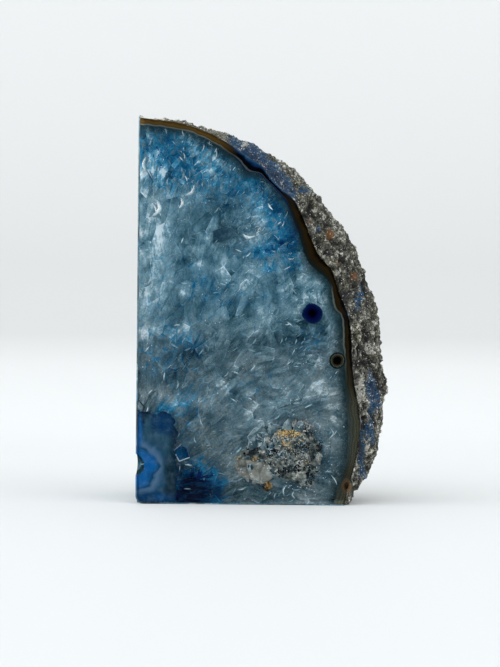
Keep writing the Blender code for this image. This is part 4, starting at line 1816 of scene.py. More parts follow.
DRIFTS = (
    Strewn(Grit.OCHRE, (285, 434), (14, 4.5), 0.0, 150, 0.55), Strewn(Grit.OCHRE, (284, 434), (6, 3.6), 0.0, 60, 0.8),
    Strewn(Grit.OCHRE, (298, 435), (5, 3), 20.0, 36, 0.6), Strewn(Grit.OCHRE, (284, 444), (5, 3), 0.0, 34, 0.6),
    Strewn(Grit.OCHRE, (292, 449), (3.4, 4), 0.0, 22, 0.5), Strewn(Grit.OCHRE, (301, 441), (3, 2), 0.0, 14, 0.5),
    Strewn(Grit.OCHRE, (255, 459), (3, 2), 0.0, 18, 0.6), Strewn(Grit.OCHRE, (240, 457), (3, 2), 0.0, 12, 0.5),
    Strewn(Grit.OCHRE, (307, 463), (2, 2), 0.0, 8, 0.5), Strewn(Grit.OCHRE, (268, 485), (5, 3), 0.0, 20, 0.5),
    Strewn(Grit.BLACK, (252, 453), (6, 3.4), 20.0, 80, 1.0), Strewn(Grit.BLACK, (272, 452), (5, 3), 20.0, 60, 0.9),
    Strewn(Grit.BLACK, (302, 452), (15, 13), 0.0, 190, 0.6), Strewn(Grit.BLACK, (290, 470), (14, 4), 10.0, 150, 0.9),
    Strewn(Grit.BLACK, (310, 477), (4, 8), 0.0, 80, 0.9), Strewn(Grit.BLACK, (306, 430), (7, 6), 0.0, 40, 0.5),
    Strewn(Grit.BLACK, (267, 487), (6, 3), 0.0, 24, 0.6), Strewn(Grit.BLACK, (320, 447), (2.4, 6), -10.0, 34, 0.6),
    Strewn(Grit.SILVER, (296, 456), (20, 15), 0.0, 90, 0.42), Strewn(Grit.SILVER, (280, 440), (18, 8), 20.0, 50, 0.42),
    Strewn(Grit.SILVER, (270, 462), (8, 9), 0.0, 30, 0.45), Strewn(Grit.SILVER, (304, 428), (9, 7), 0.0, 34, 0.42),
    Strewn(Grit.SILVER, (300, 488), (14, 5), 0.0, 24, 0.4), Strewn(Grit.CLEAR, (318, 440), (18, 20), 0.0, 32, 0.42),
    Strewn(Grit.CLEAR, (325, 475), (12, 14), 0.0, 22, 0.42), Strewn(Grit.CLEAR, (244, 474), (9, 9), 0.0, 24, 0.6),
)


@dataclass
class Grains:
    """Small broken grains, each an uneven many-sided lump.

    Args:
        depth: Least depth behind the face, in millimetres.
    """

    depth: float = 0.3

    TINTS = {
        Grit.OCHRE: ((0.16, 0.085, 0.02), (0.72, 0.45, 0.12), (0.98, 0.85, 0.5)),
        Grit.BLACK: ((0.002, 0.004, 0.006), (0.01, 0.018, 0.024), (0.05, 0.07, 0.08)),
        # Silver grains: their near-white colour is partly painted sparkle.
        Grit.SILVER: ((0.45, 0.5, 0.5), (0.8, 0.84, 0.84), (1.0, 1.0, 1.0)),
        Grit.CLEAR: ((0.2, 0.3, 0.34), (0.4, 0.5, 0.54), (0.8, 0.88, 0.9)),
    }
    SIDES = (
        (0, 2, 4), (0, 4, 3), (0, 3, 5), (0, 5, 2), (1, 4, 2), (1, 3, 4), (1, 5, 3), (1, 2, 5),
    )

    def shape(self, grit: Grit) -> Shape:
        """Build every grain of one kind that lies in the quartz."""
        rng = random.Random(len(grit.value) * 13)
        points: list[np.ndarray] = []
        faces: list[tuple[int, ...]] = []
        tones: list[float] = []
        for drift in (drift for drift in DRIFTS if drift.grit is grit):
            turn = math.radians(drift.turn)
            for _ in range(drift.count):
                long, wide = rng.gauss(0.0, 0.55) * drift.reach[0], rng.gauss(0.0, 0.55) * drift.reach[1]
                pixel = (
                    drift.middle[0] + long * math.cos(turn) + wide * math.sin(turn),
                    drift.middle[1] - long * math.sin(turn) + wide * math.cos(turn),
                )
                flat = LAYOUT.at(*pixel)
                size = drift.size * rng.uniform(0.5, 1.4)
                middle = np.array([flat[0], self.depth + 0.5 * size + rng.uniform(0.0, 0.5), flat[1]])
                self.lump(middle, size, rng, points, faces)
                tones += [rng.random()] * len(self.SIDES)
        return Shape(np.vstack(points), faces, {}, {"grain": np.array(tones)})

    def lump(self, middle: np.ndarray, size: float, rng: random.Random, points: list[np.ndarray], faces: list[tuple[int, ...]]) -> None:
        """Add one grain.

        Args:
            middle: Its place, in millimetres.
            size: Its width, in millimetres.
            rng: Source of its unevenness.
            points: The points, added to.
            faces: The faces, added to.
        """
        axes = np.array([[1, 0, 0], [-1, 0, 0], [0, 1, 0], [0, -1, 0], [0, 0, 1], [0, 0, -1]], float)
        scale = np.array([rng.uniform(0.6, 1.3) for _ in range(6)])[:, None]
        turn = Matrix.Rotation(rng.uniform(0, 6.3), 3, Vector((rng.uniform(-1, 1), rng.uniform(-1, 1), rng.uniform(-1, 1.01))))
        own = (axes * scale * 0.5 * size) @ np.array(turn).T
        start = 6 * len(points)
        points.append(middle + own)
        faces += [tuple(start + corner for corner in side) for side in self.SIDES]

    @classmethod
    def material(cls, grit: Grit) -> bpy.types.Material:
        """Finish of one kind of grain."""
        material, graph = new_material(f"{grit.value}_grains")
        dark, middle, light = cls.TINTS[grit]
        colour = graph.ramp(graph.attribute("grain"), [(0.0, dark), (0.55, middle), (1.0, light)])
        graph.surface(Base_Color=colour, Roughness=0.25 if grit is Grit.BLACK else 0.4, Specular_IOR_Level=0.2)
        return material


@dataclass
class Rind:
    """The rough natural outside of the nodule.

    Args:
        rounds: Times that its triangles near the face are split in four.
        lumps: Height of its lumps, in millimetres.
        grains: Height of its chunky grains, in millimetres.
        pits: Depth of its pits, in millimetres.
    """

    rounds: int = 3
    lumps: float = 0.75
    grains: float = 0.8
    pits: float = 0.9

    STAIN = (
        Blob((249, 154), (6.5, 3.4), -40.0, 2.0), Blob((270, 171), (9.0, 3.2), -42.0, 3.0),
        Blob((286, 187), (3.6, 2.2), -45.0, 1.2), Blob((306, 188), (2.2, 1.4), -30.0, 1.2),
        Blob((319, 228), (1.0, 1.6), 0.0, 1.2), Blob((363, 296), (1.4, 5.2), -10.0, 1.2),
        Blob((375, 391), (1.9, 5.4), 5.0, 3.0), Blob((373, 430), (1.3, 6.0), 0.0, 1.4), Blob((364, 443), (1.2, 11.0), 3.0, 1.6),
        Blob((365, 467), (1.2, 4.4), 0.0, 0.6), Blob((352, 330), (1.0, 6.0), -10.0, 0.3),
        Blob((232, 138), (5.0, 1.6), -25.0, 0.5), Blob((300, 203), (3.0, 1.2), -50.0, 0.4),
    )
    PALE = (
        Blob((244.5, 145), (1.0, 0.9), 0.0, 1.6), Blob((363, 389), (1.6, 6.0), 5.0, 1.3), Blob((361, 424), (0.9, 6.0), 0.0, 0.9), Blob((359, 458), (0.9, 5.0), 6.0, 0.9), Blob((369, 452), (0.8, 7.0), 6.0, 0.8),
        Blob((373, 348), (1.2, 2.0), 0.0, 1.4), Blob((340, 271), (1.0, 1.4), 0.0, 1.4),
        Blob((319, 208), (0.9, 0.9), 0.0, 1.4), Blob((328, 215), (1.1, 1.1), 0.0, 1.3),
        Blob((336, 218), (0.8, 0.8), 0.0, 1.2), Blob((340, 230), (0.8, 0.8), 0.0, 1.2),
        Blob((326, 254), (0.8, 1.1), 0.0, 1.3), Blob((350, 257), (0.8, 1.1), 0.0, 1.2),
        Blob((342, 296), (0.7, 1.9), 0.0, 1.2), Blob((368, 317), (0.8, 1.0), 0.0, 1.3),
        Blob((369, 327), (0.8, 1.0), 0.0, 1.2), Blob((378, 323), (0.7, 1.3), 0.0, 1.2),
        Blob((285, 184), (3.0, 0.8), -48.0, 0.7), Blob((262, 163), (3.6, 0.8), -42.0, 0.7),
    )
    RUST = (
        Blob((332, 233), (1.2, 1.9), 0.0, 1.6), Blob((357, 275), (1.1, 1.5), 0.0, 1.3),
        Blob((310, 222), (2.4, 2.2), -50.0, 0.5), Blob((340, 262), (2.4, 3.0), -50.0, 0.5),
        Blob((200, 122), (8.0, 1.4), -8.0, 0.6), Blob((160, 118), (8.0, 1.2), 0.0, 0.7),
    )
    # Deep holes: sunk into the rind and darkened with painted shade.
    HOLES = (
        Blob((349, 297), (2.2, 3.2), -15.0, 1.6), Blob((356, 391), (1.0, 2.8), 0.0, 1.2),
        Blob((362, 440), (1.3, 8.0), 0.0, 1.2), Blob((325, 243), (1.2, 2.0), -30.0, 0.7),
        Blob((306, 213), (1.4, 2.4), -50.0, 0.7), Blob((360, 345), (1.0, 3.4), 0.0, 0.7),
    )

    def shape(self, stone: Stone, near: bool) -> Shape:
        """Build one part of the rind.

        Args:
            stone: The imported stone.
            near: Whether it is the part near the polished face, or the rest.

        Returns:
            The rough surface.
        """
        chosen = np.array([face for face in stone.faces if stone.zone_of(face) is Zone.RIND])
        normals = np.zeros_like(stone.points)
        corners = stone.points[chosen]
        across = np.cross(corners[:, 1] - corners[:, 0], corners[:, 2] - corners[:, 0])
        for corner in range(3):
            np.add.at(normals, chosen[:, corner], across)
        normals /= np.maximum(np.linalg.norm(normals, axis=1)[:, None], 1e-12)
        border = self.border(chosen)
        depth = corners[:, :, 1].mean(1)
        part = chosen[depth < 26.0] if near else chosen[depth >= 26.0]
        points, faces, normals = self.refine(stone.points, part, normals, self.rounds if near else self.rounds - 1)
        edge = self.edge_distance(points, stone.points, border)
        pixels = self.seen(stone, points)
        marks = self.marks(points, pixels, edge)
        lift = marks.pop("lift")
        points = points + normals * lift[:, None]
        points = np.clip(points, [0.0, 0.0, 0.0], stone.size - 0.001)
        marks["place"] = points
        return Shape(points, [tuple(face) for face in faces], marks)

    def marks(self, points: np.ndarray, pixels: np.ndarray, edge: np.ndarray) -> dict[str, np.ndarray]:
        """Work out the rind's height and what colours it, with the painted light and shade that follow its height.

        Args:
            points: Places on the smooth rind, in millimetres.
            pixels: The same places in the photo, or far outside it where they can't be seen.
            edge: Distance from the rind's border, in millimetres.

        Returns:
            Named values, one a point.
        """
        lump = soft_noise(points, 6.0, 3, 2)
        warp = 0.7 * soft_noise(points, 1.9, 2, 5)[:, None]
        near, after, tone, slope = cell_noise(points + warp, 2.6, 9)
        small_near, small_after, small_tone, small_slope = cell_noise(points + 0.5 * warp, 1.15, 31)
        hollow = smooth(soft_noise(points, 3.2, 3, 14), 0.3, 0.75)
        holes = self.look(self.HOLES, pixels)
        rise = self.grains * ((0.5 - near) * (0.5 + tone) + 0.9 * slope)
        rise += 0.36 * ((0.45 - small_near) * (0.4 + small_tone) + 0.8 * small_slope)
        rise -= 0.3 * (1.0 - smooth(after - near, 0.0, 0.2)) + self.pits * hollow
        low = 1.0 - smooth(points[:, 2], 62.0, 84.0)
        ridge = 0.6 - np.abs(soft_noise(points * np.array([1.0, 1.0, 0.5]), 5.0, 3, 88)) * 2.2
        leaning = points + 1.6 * soft_noise(points, 9.0, 2, 93)[:, None]
        upright = 0.6 - np.abs(soft_noise(leaning * np.array([1.2, 0.9, 0.3]), 4.8, 3, 90)) * 2.2
        ridge = ridge * (1.0 - low) + upright * low
        rise += (1.1 + 0.4 * low) * ridge
        groove = np.exp(-((edge - 3.4 - 1.2 * lump) / 0.8) ** 2) * smooth(soft_noise(points, 9.0, 2, 61), -0.5, 0.4)
        lift = self.lumps * lump + rise - 1.6 * holes - 0.7 * groove
        lift = (lift - 0.95 - 0.15 * low + 0.5 * smooth(points[:, 2], 112.0, 132.0)) * (smooth(edge, 0.0, 1.4) * 0.9 + 0.1)
        far = smooth(soft_noise(points, 16.0, 3, 40), 0.3, 0.7) * smooth(points[:, 1], 20.0, 32.0)
        return {
            "lift": lift,
            # hollow: the pits, holes and groove, darkened with painted shade.
            "hollow": np.clip(0.7 * hollow + holes + 0.6 * groove, 0.0, 1.5),
            # rise also paints light on raised grains and shade between them.
            "rise": rise,
            "crust": 1.0 - smooth(edge + 0.4 * lump, 0.5, 1.3),
            "grain": tone,
            "fleck": small_tone,
            "stain": self.look(self.STAIN, pixels) + 0.8 * far,
            "pale": self.look(self.PALE, pixels),
            "rust": self.look(self.RUST, pixels),
            "height": points[:, 2],
        }

    @staticmethod
    def look(blobs: Sequence[Blob], pixels: np.ndarray) -> np.ndarray:
        """Sum patches that are placed by the photo's pixels."""
        flat = np.stack(LAYOUT.at(pixels[:, 0], pixels[:, 1]), 1)
        return total(blobs, flat)

    @staticmethod
    def seen(stone: Stone, points: np.ndarray) -> np.ndarray:
        """Find where places show in the photo, as pixels, with hidden ones far outside."""
        eye = Studio(stone)
        away = eye.away / MM + points[:, 1]
        reach = 0.5 * 667.0 * eye.lens / 18.0
        right = (points[:, 0] - eye.aside / MM) / away * reach
        up = (points[:, 2] - eye.height / MM) / away * reach
        column = LAYOUT.centre[0] + right * math.cos(eye.roll) + up * math.sin(eye.roll)
        row = LAYOUT.centre[1] - up * math.cos(eye.roll) + right * math.sin(eye.roll)
        hidden = points[:, 1] > 30.0
        return np.stack([np.where(hidden, -900.0, column), row], 1)

    @staticmethod
    def border(faces: np.ndarray) -> np.ndarray:
        """List the edges that only one triangle has."""
        edges = np.sort(np.vstack([faces[:, [0, 1]], faces[:, [1, 2]], faces[:, [2, 0]]]), 1)
        found, counts = np.unique(edges, axis=0, return_counts=True)
        return found[counts == 1]

    @staticmethod
    def edge_distance(points: np.ndarray, corners: np.ndarray, border: np.ndarray) -> np.ndarray:
        """Measure each point's distance to the rind's border, up to a few millimetres."""
        samples = np.vstack([
            start + (end - start) * np.linspace(0.0, 1.0, 6)[:, None] for start, end in corners[border]
        ])
        tree = KDTree(len(samples))
        for index, place in enumerate(samples):
            tree.insert(place, index)
        tree.balance()
        return np.array([min(tree.find(place)[2], 6.0) for place in points])

    @staticmethod
    def refine(points: np.ndarray, faces: np.ndarray, normals: np.ndarray, rounds: int) -> tuple[np.ndarray, np.ndarray, np.ndarray]:
        """Split triangles in four, rounding them over.

        Args:
            points: The points.
            faces: The triangles.
            normals: The points' directions outwards.
            rounds: Times to split.

        Returns:
            The finer points, triangles and directions.
        """
        used, back = np.unique(faces, return_inverse=True)
        points, normals, faces = points[used], normals[used], back.reshape(faces.shape)
        for _ in range(rounds):
            edges = np.sort(np.vstack([faces[:, [0, 1]], faces[:, [1, 2]], faces[:, [2, 0]]]), 1)
            pairs, index = np.unique(edges, axis=0, return_inverse=True)
            index = index.reshape(-1)
            start, end = points[pairs[:, 0]], points[pairs[:, 1]]
            start_out, end_out = normals[pairs[:, 0]], normals[pairs[:, 1]]
            middle = 0.5 * (start + end)
            to_start = np.sum((middle - start) * start_out, 1)[:, None] * start_out
            to_end = np.sum((middle - end) * end_out, 1)[:, None] * end_out
            bulge = 0.5 * (to_start + to_end)
            bulge *= np.minimum(1.0, 0.25 / np.maximum(np.linalg.norm(bulge, axis=1), 1e-9))[:, None]
            middle = middle - 0.6 * bulge
            out = start_out + end_out
            out /= np.maximum(np.linalg.norm(out, axis=1)[:, None], 1e-12)
            count = len(faces)
            first, second, third = (index[count * side:count * (side + 1)] + len(points) for side in range(3))
            points, normals = np.vstack([points, middle]), np.vstack([normals, out])
            faces = np.vstack([
                np.stack([faces[:, 0], first, third], 1), np.stack([first, faces[:, 1], second], 1),
                np.stack([third, second, faces[:, 2]], 1), np.stack([first, second, third], 1),
            ])
        return points, faces, normals

    @staticmethod
    def material() -> bpy.types.Material:
        """Finish of the rind: grey weathered rock with flecks and stains, painted glints, painted light on its top and
        raised grains, and painted shade in its pits, holes and groove.
        """
        material, graph = new_material("weathered_rind")
        place = graph.attribute("place", vector=True)
        hollow, grain, fleck = (graph.attribute(name) for name in ("hollow", "grain", "fleck"))
        fine, dust = graph.noise(place, 1.7, 4.0, 0.7), graph.noise(place, 4.2, 3.0, 0.7)
        shaken = graph.warp(place, 1.6, 1.1)
        speck, small = graph.cells(shaken, 1.1), graph.cells(shaken, 2.4)
        tone = graph.math("ADD", graph.math("MULTIPLY", grain, 0.16), graph.math("MULTIPLY", fleck, 0.16))
        tone = graph.math("MULTIPLY_ADD", speck.outputs["Color"], 0.3, tone)
        tone = graph.math("MULTIPLY_ADD", small.outputs["Color"], 0.28, tone)
        tone = graph.math("ADD", tone, graph.ease(fine, 0.3, 0.7, -0.16, 0.2))
        tone = graph.math("ADD", tone, graph.ease(dust, 0.3, 0.7, -0.09, 0.11))
        tone = graph.math("ADD", tone, graph.ease(graph.noise(place, 0.5, 3.0), 0.36, 0.64, -0.15, 0.12))
        # Painted light: the rind is lighter towards its top.
        tone = graph.math("ADD", tone, graph.ease(graph.attribute("height"), 95.0, 138.0, 0.0, 0.08))
        # Painted light and shade: raised grains lighter, low places darker.
        tone = graph.math("MULTIPLY_ADD", graph.attribute("rise"), 0.2, tone)
        tone = graph.math("MULTIPLY_ADD", graph.attribute("crust"), 0.14, tone)
        stripes = graph.noise(graph.stretch(graph.warp(place, 0.16, 6.0), (0.7, 0.7, 0.16)), 1.0, 3.0, 0.6)
        stripes = graph.math("MULTIPLY", graph.ease(stripes, 0.36, 0.64, -0.14, 0.13), graph.ease(graph.attribute("height"), 60.0, 84.0, 1.0, 0.0))
        tone = graph.math("ADD", tone, stripes)
        colour = graph.ramp(tone, [
            (0.16, (0.003, 0.003, 0.002)), (0.34, (0.028, 0.028, 0.021)), (0.54, (0.084, 0.083, 0.064)),
            (0.74, (0.185, 0.184, 0.15)), (0.96, (0.68, 0.67, 0.62)),
        ])
        broad = graph.noise(place, 0.13, 3.0)
        colour = graph.mix(graph.ease(broad, 0.45, 0.65, 0.0, 0.55), colour, graph.mix(1.0, colour, (0.82, 0.8, 0.62), "MULTIPLY"))
        ragged = graph.noise(place, 1.1, 5.0, 0.7)
        for name, tint, low, high in (
            ("rust", (0.13, 0.05, 0.01), 0.35, 0.75), ("stain", (0.003, 0.055, 0.18), 0.35, 0.85),
            ("pale", (0.6, 0.58, 0.52), 0.45, 0.8),
        ):
            if name == "stain":
                tint = graph.ramp(graph.math("MULTIPLY_ADD", graph.attribute("stain"), -0.035, dust), [
                    (0.34, (0.001, 0.006, 0.03)), (0.45, (0.002, 0.036, 0.1)), (0.58, (0.01, 0.11, 0.21)), (0.76, (0.16, 0.32, 0.38)),
                ])
            if name == "pale":
                tint = graph.ramp(dust, [(0.34, (0.1, 0.1, 0.08)), (0.5, (0.34, 0.335, 0.29)), (0.68, (0.75, 0.74, 0.69))])
            amount = graph.math("MULTIPLY", graph.attribute(name), graph.ease(ragged, 0.36, 0.6, 0.1, 1.35))
            colour = graph.mix(graph.ease(amount, low, high, 0.0, 0.92), colour, tint)
        # Painted shade in the pits, holes and groove.
        colour = graph.mix(graph.ease(hollow, 0.25, 1.1, 0.0, 0.9), colour, (0.012, 0.012, 0.014))
        # Painted glints: small white flecks scattered over the rind.
        spark = graph.cells(graph.warp(place, 2.5, 0.5), 1.7)
        chance = graph.ease(spark.outputs["Color"], 0.7, 0.76)
        close = graph.ease(spark.outputs["Distance"], 0.16, 0.3, 1.0, 0.0)
        painted_rind_glint = graph.math("MULTIPLY", chance, close)
        colour = graph.mix(painted_rind_glint, colour, (0.85, 0.86, 0.86))
        graph.surface(
            Base_Color=colour, Roughness=graph.ease(fine, 0.3, 0.7, 0.85, 0.45),
            Specular_IOR_Level=0.3, Normal=graph.bump(fine, 0.0006, 1.0),
        )
        return material


@dataclass
class GroundFaces:
    """The sawn side and base, ground flat, and the eased edges between the flat faces.

    Args:
        spacing: Distance between their points, in millimetres.
    """

    spacing: float = 1.1

    def flat(self, stone: Stone, zone: Zone) -> Shape:
        """Build the sawn side or base.

        Args:
            stone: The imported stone.
            zone: Which of the two.

        Returns:
            The flat face.
        """
        axes = (1, 2) if zone is Zone.SIDE else (0, 1)
        outline = stone.outline(zone, axes)
        flat, tiles = fill(outline, self.spacing, 6)
        points = np.zeros((len(flat), 3))
        points[:, list(axes)] = flat
        if zone is Zone.SIDE:
            kept = (outline[:, 0] > 4.5) & (outline[:, 1] > 2.4) & (outline.sum(1) > 46.0)
        else:
            kept = (outline[:, 0] > 3.3) & (outline[:, 1] > 0.8)
        ring = outline[kept]
        jumps = np.linalg.norm(np.roll(ring, -1, axis=0) - ring, axis=1)
        ring = np.roll(ring, -1 - int(np.argmax(jumps)), axis=0)
        return Shape(points, tiles, {"from_rind": distance_to(flat, ring), "place": points, **self.corner(points)})

    @staticmethod
    def corner(points: np.ndarray) -> dict[str, np.ndarray]:
        """Continue the face's banded corner into the stone.

        Args:
            points: Places in millimetres.

        Returns:
            How deep each lies in the corner, from 1 in its middle to 0 at its border, and its distance to the fold.
        """
        outer = np.linalg.norm((points - [0.0, 0.0, 14.0]) / [15.5, 17.0, 20.3], axis=1)
        inner = np.linalg.norm((points - [0.0, 0.0, 13.2]) / [7.6, 8.5, 7.9], axis=1)
        return {"banded": 1.0 - outer, "fold": (inner - 1.0) * 8.0}

    @staticmethod
    def rims(stone: Stone, zone: Zone) -> Shape:
        """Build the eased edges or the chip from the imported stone's own faces."""
        chosen = np.array([face for face in stone.faces if stone.zone_of(face) is zone])
        points, faces, _ = Rind.refine(stone.points, chosen, np.zeros_like(stone.points), 1)
        marks = {"from_rind": np.full(len(points), 12.0), "place": points, **GroundFaces.corner(points)}
        if zone is Zone.CHIP:
            marks["banded"] = np.full(len(points), -1.0)
        return Shape(points, [tuple(face) for face in faces], marks)

    @staticmethod
    def material(name: str, rough: float, lift: float, shine: float = 0.5) -> bpy.types.Material:
        """Finish of ground quartz: a mosaic of crystals inside the rim's bands.

        Args:
            name: The material's name.
            rough: Its roughness.
            lift: Its paleness, from -0.5 to 0.5.
            shine: Its specular level.

        Returns:
            The material.
        """
        material, graph = new_material(name)
        place, away = graph.attribute("place", vector=True), graph.attribute("from_rind")
        wander = graph.noise(place, 0.25, 3.0)
        reach = graph.math("ADD", away, graph.ease(wander, 0.3, 0.7, -0.6, 0.6))
        bands = graph.ramp(graph.math("MULTIPLY", reach, 0.2), [
            (0.0, (0.004, 0.003, 0.002)), (0.1, (0.02, 0.013, 0.006)), (0.24, (0.06, 0.037, 0.012)),
            (0.34, (0.035, 0.03, 0.016)), (0.4, (0.16, 0.17, 0.13)), (0.46, (0.01, 0.03, 0.035)), (0.58, (0.02, 0.08, 0.11)),
        ])
        bent = graph.warp(graph.warp(place, 0.12, 7.0), 0.6, 1.6)
        tone: object = lift
        for scale, share in ((0.15, 0.5), (0.34, 0.34), (0.9, 0.2)):
            tone = graph.math("MULTIPLY_ADD", graph.cells(bent, scale).outputs["Color"], share, tone)
        threads = graph.noise(graph.stretch(bent, (1.0, 1.0, 0.35)), 0.9, 4.0, 0.65)
        cloud, dust = graph.noise(place, 0.07, 3.0), graph.noise(place, 1.8, 4.0, 0.65)
        for value, least, most in ((threads, -0.14, 0.14), (cloud, -0.16, 0.14), (dust, -0.08, 0.08)):
            tone = graph.math("ADD", tone, graph.ease(value, 0.32, 0.68, least, most))
        edges = graph.cells(bent, 0.15, "DISTANCE_TO_EDGE").outputs["Distance"]
        patch = graph.noise(place, 0.09, 4.0, 0.6)
        soak = graph.math("MULTIPLY", graph.ease(patch, 0.5, 0.7, 0.0, 1.1), graph.ease(threads, 0.35, 0.6, 0.3, 1.0))
        seam = graph.math("MULTIPLY", graph.ease(edges, 0.0, 0.05, 0.7, 0.0), graph.ease(dust, 0.4, 0.6))
        quartz = graph.add("Group", {
            "Tone": graph.math("MULTIPLY_ADD", seam, 0.2, tone), "Dye": graph.math("ADD", soak, seam),
            "Green": graph.ease(cloud, 0.4, 0.6, 0.1, 0.9),
        }, node_tree=quartz_tints())
        colour = graph.mix(graph.ease(reach, 1.9, 2.9), bands, quartz.outputs["Color"])
        fold = graph.math("ADD", graph.attribute("fold"), graph.ease(wander, 0.3, 0.7, -1.2, 1.2))
        agate = graph.add("Group", {"Fold": fold}, node_tree=corner_bands())
        ragged = graph.math("ADD", graph.attribute("banded"), graph.ease(patch, 0.3, 0.7, -0.16, 0.16))
        colour = graph.mix(graph.ease(ragged, 0.0, 0.03), colour, agate.outputs["Color"])
        graph.surface(Base_Color=colour, Roughness=rough, Specular_IOR_Level=shine, Normal=graph.bump(threads, 0.0001, 0.3))
        return material


@dataclass
class Studio:
    """A pale sweep, soft light and the photo's camera.

    Args:
        stone: The stone that is looked at.
        away: Distance from the camera to the polished face, in metres.
        aside: The camera's place from the sawn side, in metres.
        height: The camera's height over the sawn base, in metres.
        lens: The camera's focal length on a 36 mm wide picture side, in millimetres.
        roll: The camera's roll, in radians.
    """

    stone: Stone
    away: float = 0.72
    aside: float = 0.0406
    height: float = 0.0614
    lens: float = 108.42
    roll: float = 0.0092

    # Each lamp's direction, the cosines where it starts and is full, and its strength
    LAMPS = (
        ((0.0, 0.0, 1.0), -1.01, -1.0, 1.0),
        ((-0.62, -0.62, 0.62), 0.42, 0.97, 1.65),
        ((0.8, -0.72, 0.3), 0.82, 0.93, 1.7),
    )

    def build(self) -> None:
        """Set the sweep, the lights, the surroundings and the camera."""
        self.sweep()
        self.surroundings()
        self.camera()
        view = bpy.context.scene.view_settings
        view.view_transform = "Standard"
        view.look = "None"

    def sweep(self) -> None:
        """Build the floor that curves up into the background."""
        profile = [(-1.2, 0.0), (0.35, 0.0)]
        profile += [(0.35 + 0.5 * math.sin(turn), 0.5 - 0.5 * math.cos(turn)) for turn in np.linspace(0.0, math.pi / 2, 24)[1:]]
        profile += [(0.85, 2.0)]
        points = [(side, back, up) for back, up in profile for side in (-1.6, 1.6)]
        faces = [(row * 2, row * 2 + 1, row * 2 + 3, row * 2 + 2) for row in range(len(profile) - 1)]
        mesh = bpy.data.meshes.new("sweep")
        mesh.from_pydata(points, [], faces)
        mesh.shade_smooth()
        material, graph = new_material("sweep_paper")
        place = graph.add("NewGeometry").outputs["Position"]
        tooth = graph.noise(place, 900.0, 2.0)
        height = graph.add("SeparateXYZ", {"Vector": place}).outputs["Z"]
        # Painted light and shade on one white paper: lightest on the floor, darkest low on the curve, a little lighter
        # higher up.
        paper_painted_light = graph.ramp(graph.math("MULTIPLY", height, 2.0), [
            (0.0, (0.62, 0.632, 0.628)), (0.08, (0.54, 0.545, 0.54)), (0.12, (0.455, 0.46, 0.455)),
            (0.22, (0.44, 0.445, 0.44)), (0.7, (0.52, 0.525, 0.52)),
        ])
        tone = graph.mix(tooth, (0.98, 0.98, 0.98), (1.0, 1.0, 1.0))
        graph.surface(Base_Color=graph.mix(1.0, paper_painted_light, tone, "MULTIPLY"), Roughness=0.7)
        mesh.materials.append(material)
        item = bpy.data.objects.new("sweep", mesh)
        bpy.context.scene.collection.objects.link(item)

    def surroundings(self) -> None:
        """Set a soft room with large lamps that is dark behind the camera."""
        world = bpy.data.worlds.new("room")
        world.use_nodes = True
        graph = Graph(world.node_tree)
        aim = graph.add("TexCoord").outputs["Generated"]
        strength: object = 0.0
        for towards, start, full, power in self.LAMPS:
            length = math.sqrt(sum(part * part for part in towards))
            axis = tuple(part / length for part in towards)
            facing = graph.add("VectorMath", {"#0": aim, "#1": axis}, operation="DOT_PRODUCT").outputs["Value"]
            strength = graph.math("ADD", strength, graph.ease(facing, start, full, 0.0, power))
        front = graph.add("VectorMath", {"#0": aim, "#1": (0.0, -1.0, 0.0)}, operation="DOT_PRODUCT").outputs["Value"]
        strength = graph.math("MULTIPLY", strength, graph.ease(front, 0.93, 0.985, 1.0, 0.04))
        room = graph.add("Background", {"Color": (0.95, 0.975, 1.0), "Strength": strength})
        graph.add("OutputWorld", {"Surface": room.outputs[0]})
        bpy.context.scene.world = world

    def camera(self) -> None:
        """Place the camera level in front of the face, as in the photo."""
        eye = bpy.data.cameras.new("camera")
        eye.lens = self.lens
        eye.sensor_width = 36.0
        eye.sensor_fit = "AUTO"
        item = bpy.data.objects.new("camera", eye)
        place = Vector((self.stone.low.x + self.aside, self.stone.low.y - self.away, self.height))
        item.matrix_world = Matrix.Translation(place) @ Matrix.Rotation(math.pi / 2, 4, "X") @ Matrix.Rotation(self.roll, 4, "Z")
        bpy.context.scene.collection.objects.link(item)
        bpy.context.scene.camera = item


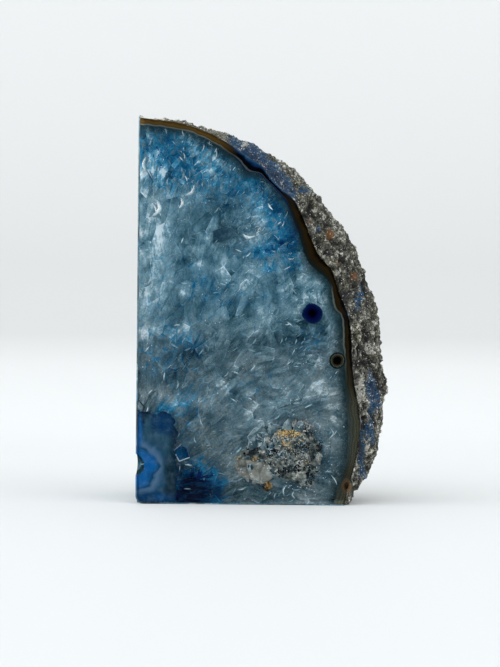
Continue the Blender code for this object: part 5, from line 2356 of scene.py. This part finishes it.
def main() -> None:
    """Build the stone's pieces in order, light them and place the camera."""
    logging.basicConfig(level=logging.INFO, format="%(name)s: %(message)s")
    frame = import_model()
    stone = Stone.read(frame["nodes"][STONE])
    face = Face.trace(stone)
    LOG.info("face outline %d points, rind edge %d", len(face.outline), len(face.rind_edge))
    LOG.info("rind edge from %s to %s", face.rind_edge[0], face.rind_edge[-1])
    shop = Workshop(stone)
    quartz = Quartz()
    shop.piece("quartz_crystals", quartz.shape(face), quartz.material())
    band = RimBands()
    shop.piece("rim_bands", band.shape(face), band.material(), rounded=True)
    corner = BandedCorner()
    shop.piece("banded_corner", corner.shape(face), corner.material(), rounded=True)
    for eye in EYES:
        shop.piece(eye.name, eye.shape(), eye.material(), rounded=True)
    # The cracks carry painted glints; the faint veils carry partly painted sheen.
    veils = Veils()
    for title, faint in (("cracks_painted_glints", False), ("veils_painted_sheen", True)):
        shop.piece(title, veils.shape(face, quartz, faint), veils.material(faint))
    crystals = CrystalSet()
    shop.piece("single_crystals", crystals.shape(), crystals.material())
    for bed in BEDS:
        shop.piece(bed.name, bed.shape(), bed.material())
    grains = Grains()
    for grit in Grit:
        shop.piece(f"{grit.value}_grains", grains.shape(grit), grains.material(grit))
    rind = Rind()
    rock = rind.material()
    shop.piece("rind_near_face", rind.shape(stone, True), rock, rounded=True)
    shop.piece("rind_behind", rind.shape(stone, False), rock, rounded=True)
    ground = GroundFaces()
    satin = ground.material("ground_quartz", 0.32, -0.16)
    shop.piece("sawn_side", ground.flat(stone, Zone.SIDE), satin)
    shop.piece("sawn_base", ground.flat(stone, Zone.BASE), satin)
    # The eased edges are a little darker than the sawn faces, partly as painted shade along the stone's foot.
    pale = ground.material("eased_quartz", 0.4, -0.2)
    shop.piece("eased_edges", ground.rims(stone, Zone.EASED), pale)
    broken = ground.material("chipped_quartz", 0.6, -0.4, 0.0)
    shop.piece("chip", ground.rims(stone, Zone.CHIP), broken)
    plate = Plate()
    shop.piece("clear_polish", plate.shape(face), plate.material())
    studio = Studio(stone)
    studio.build()


if __name__ == "__main__":
    main()
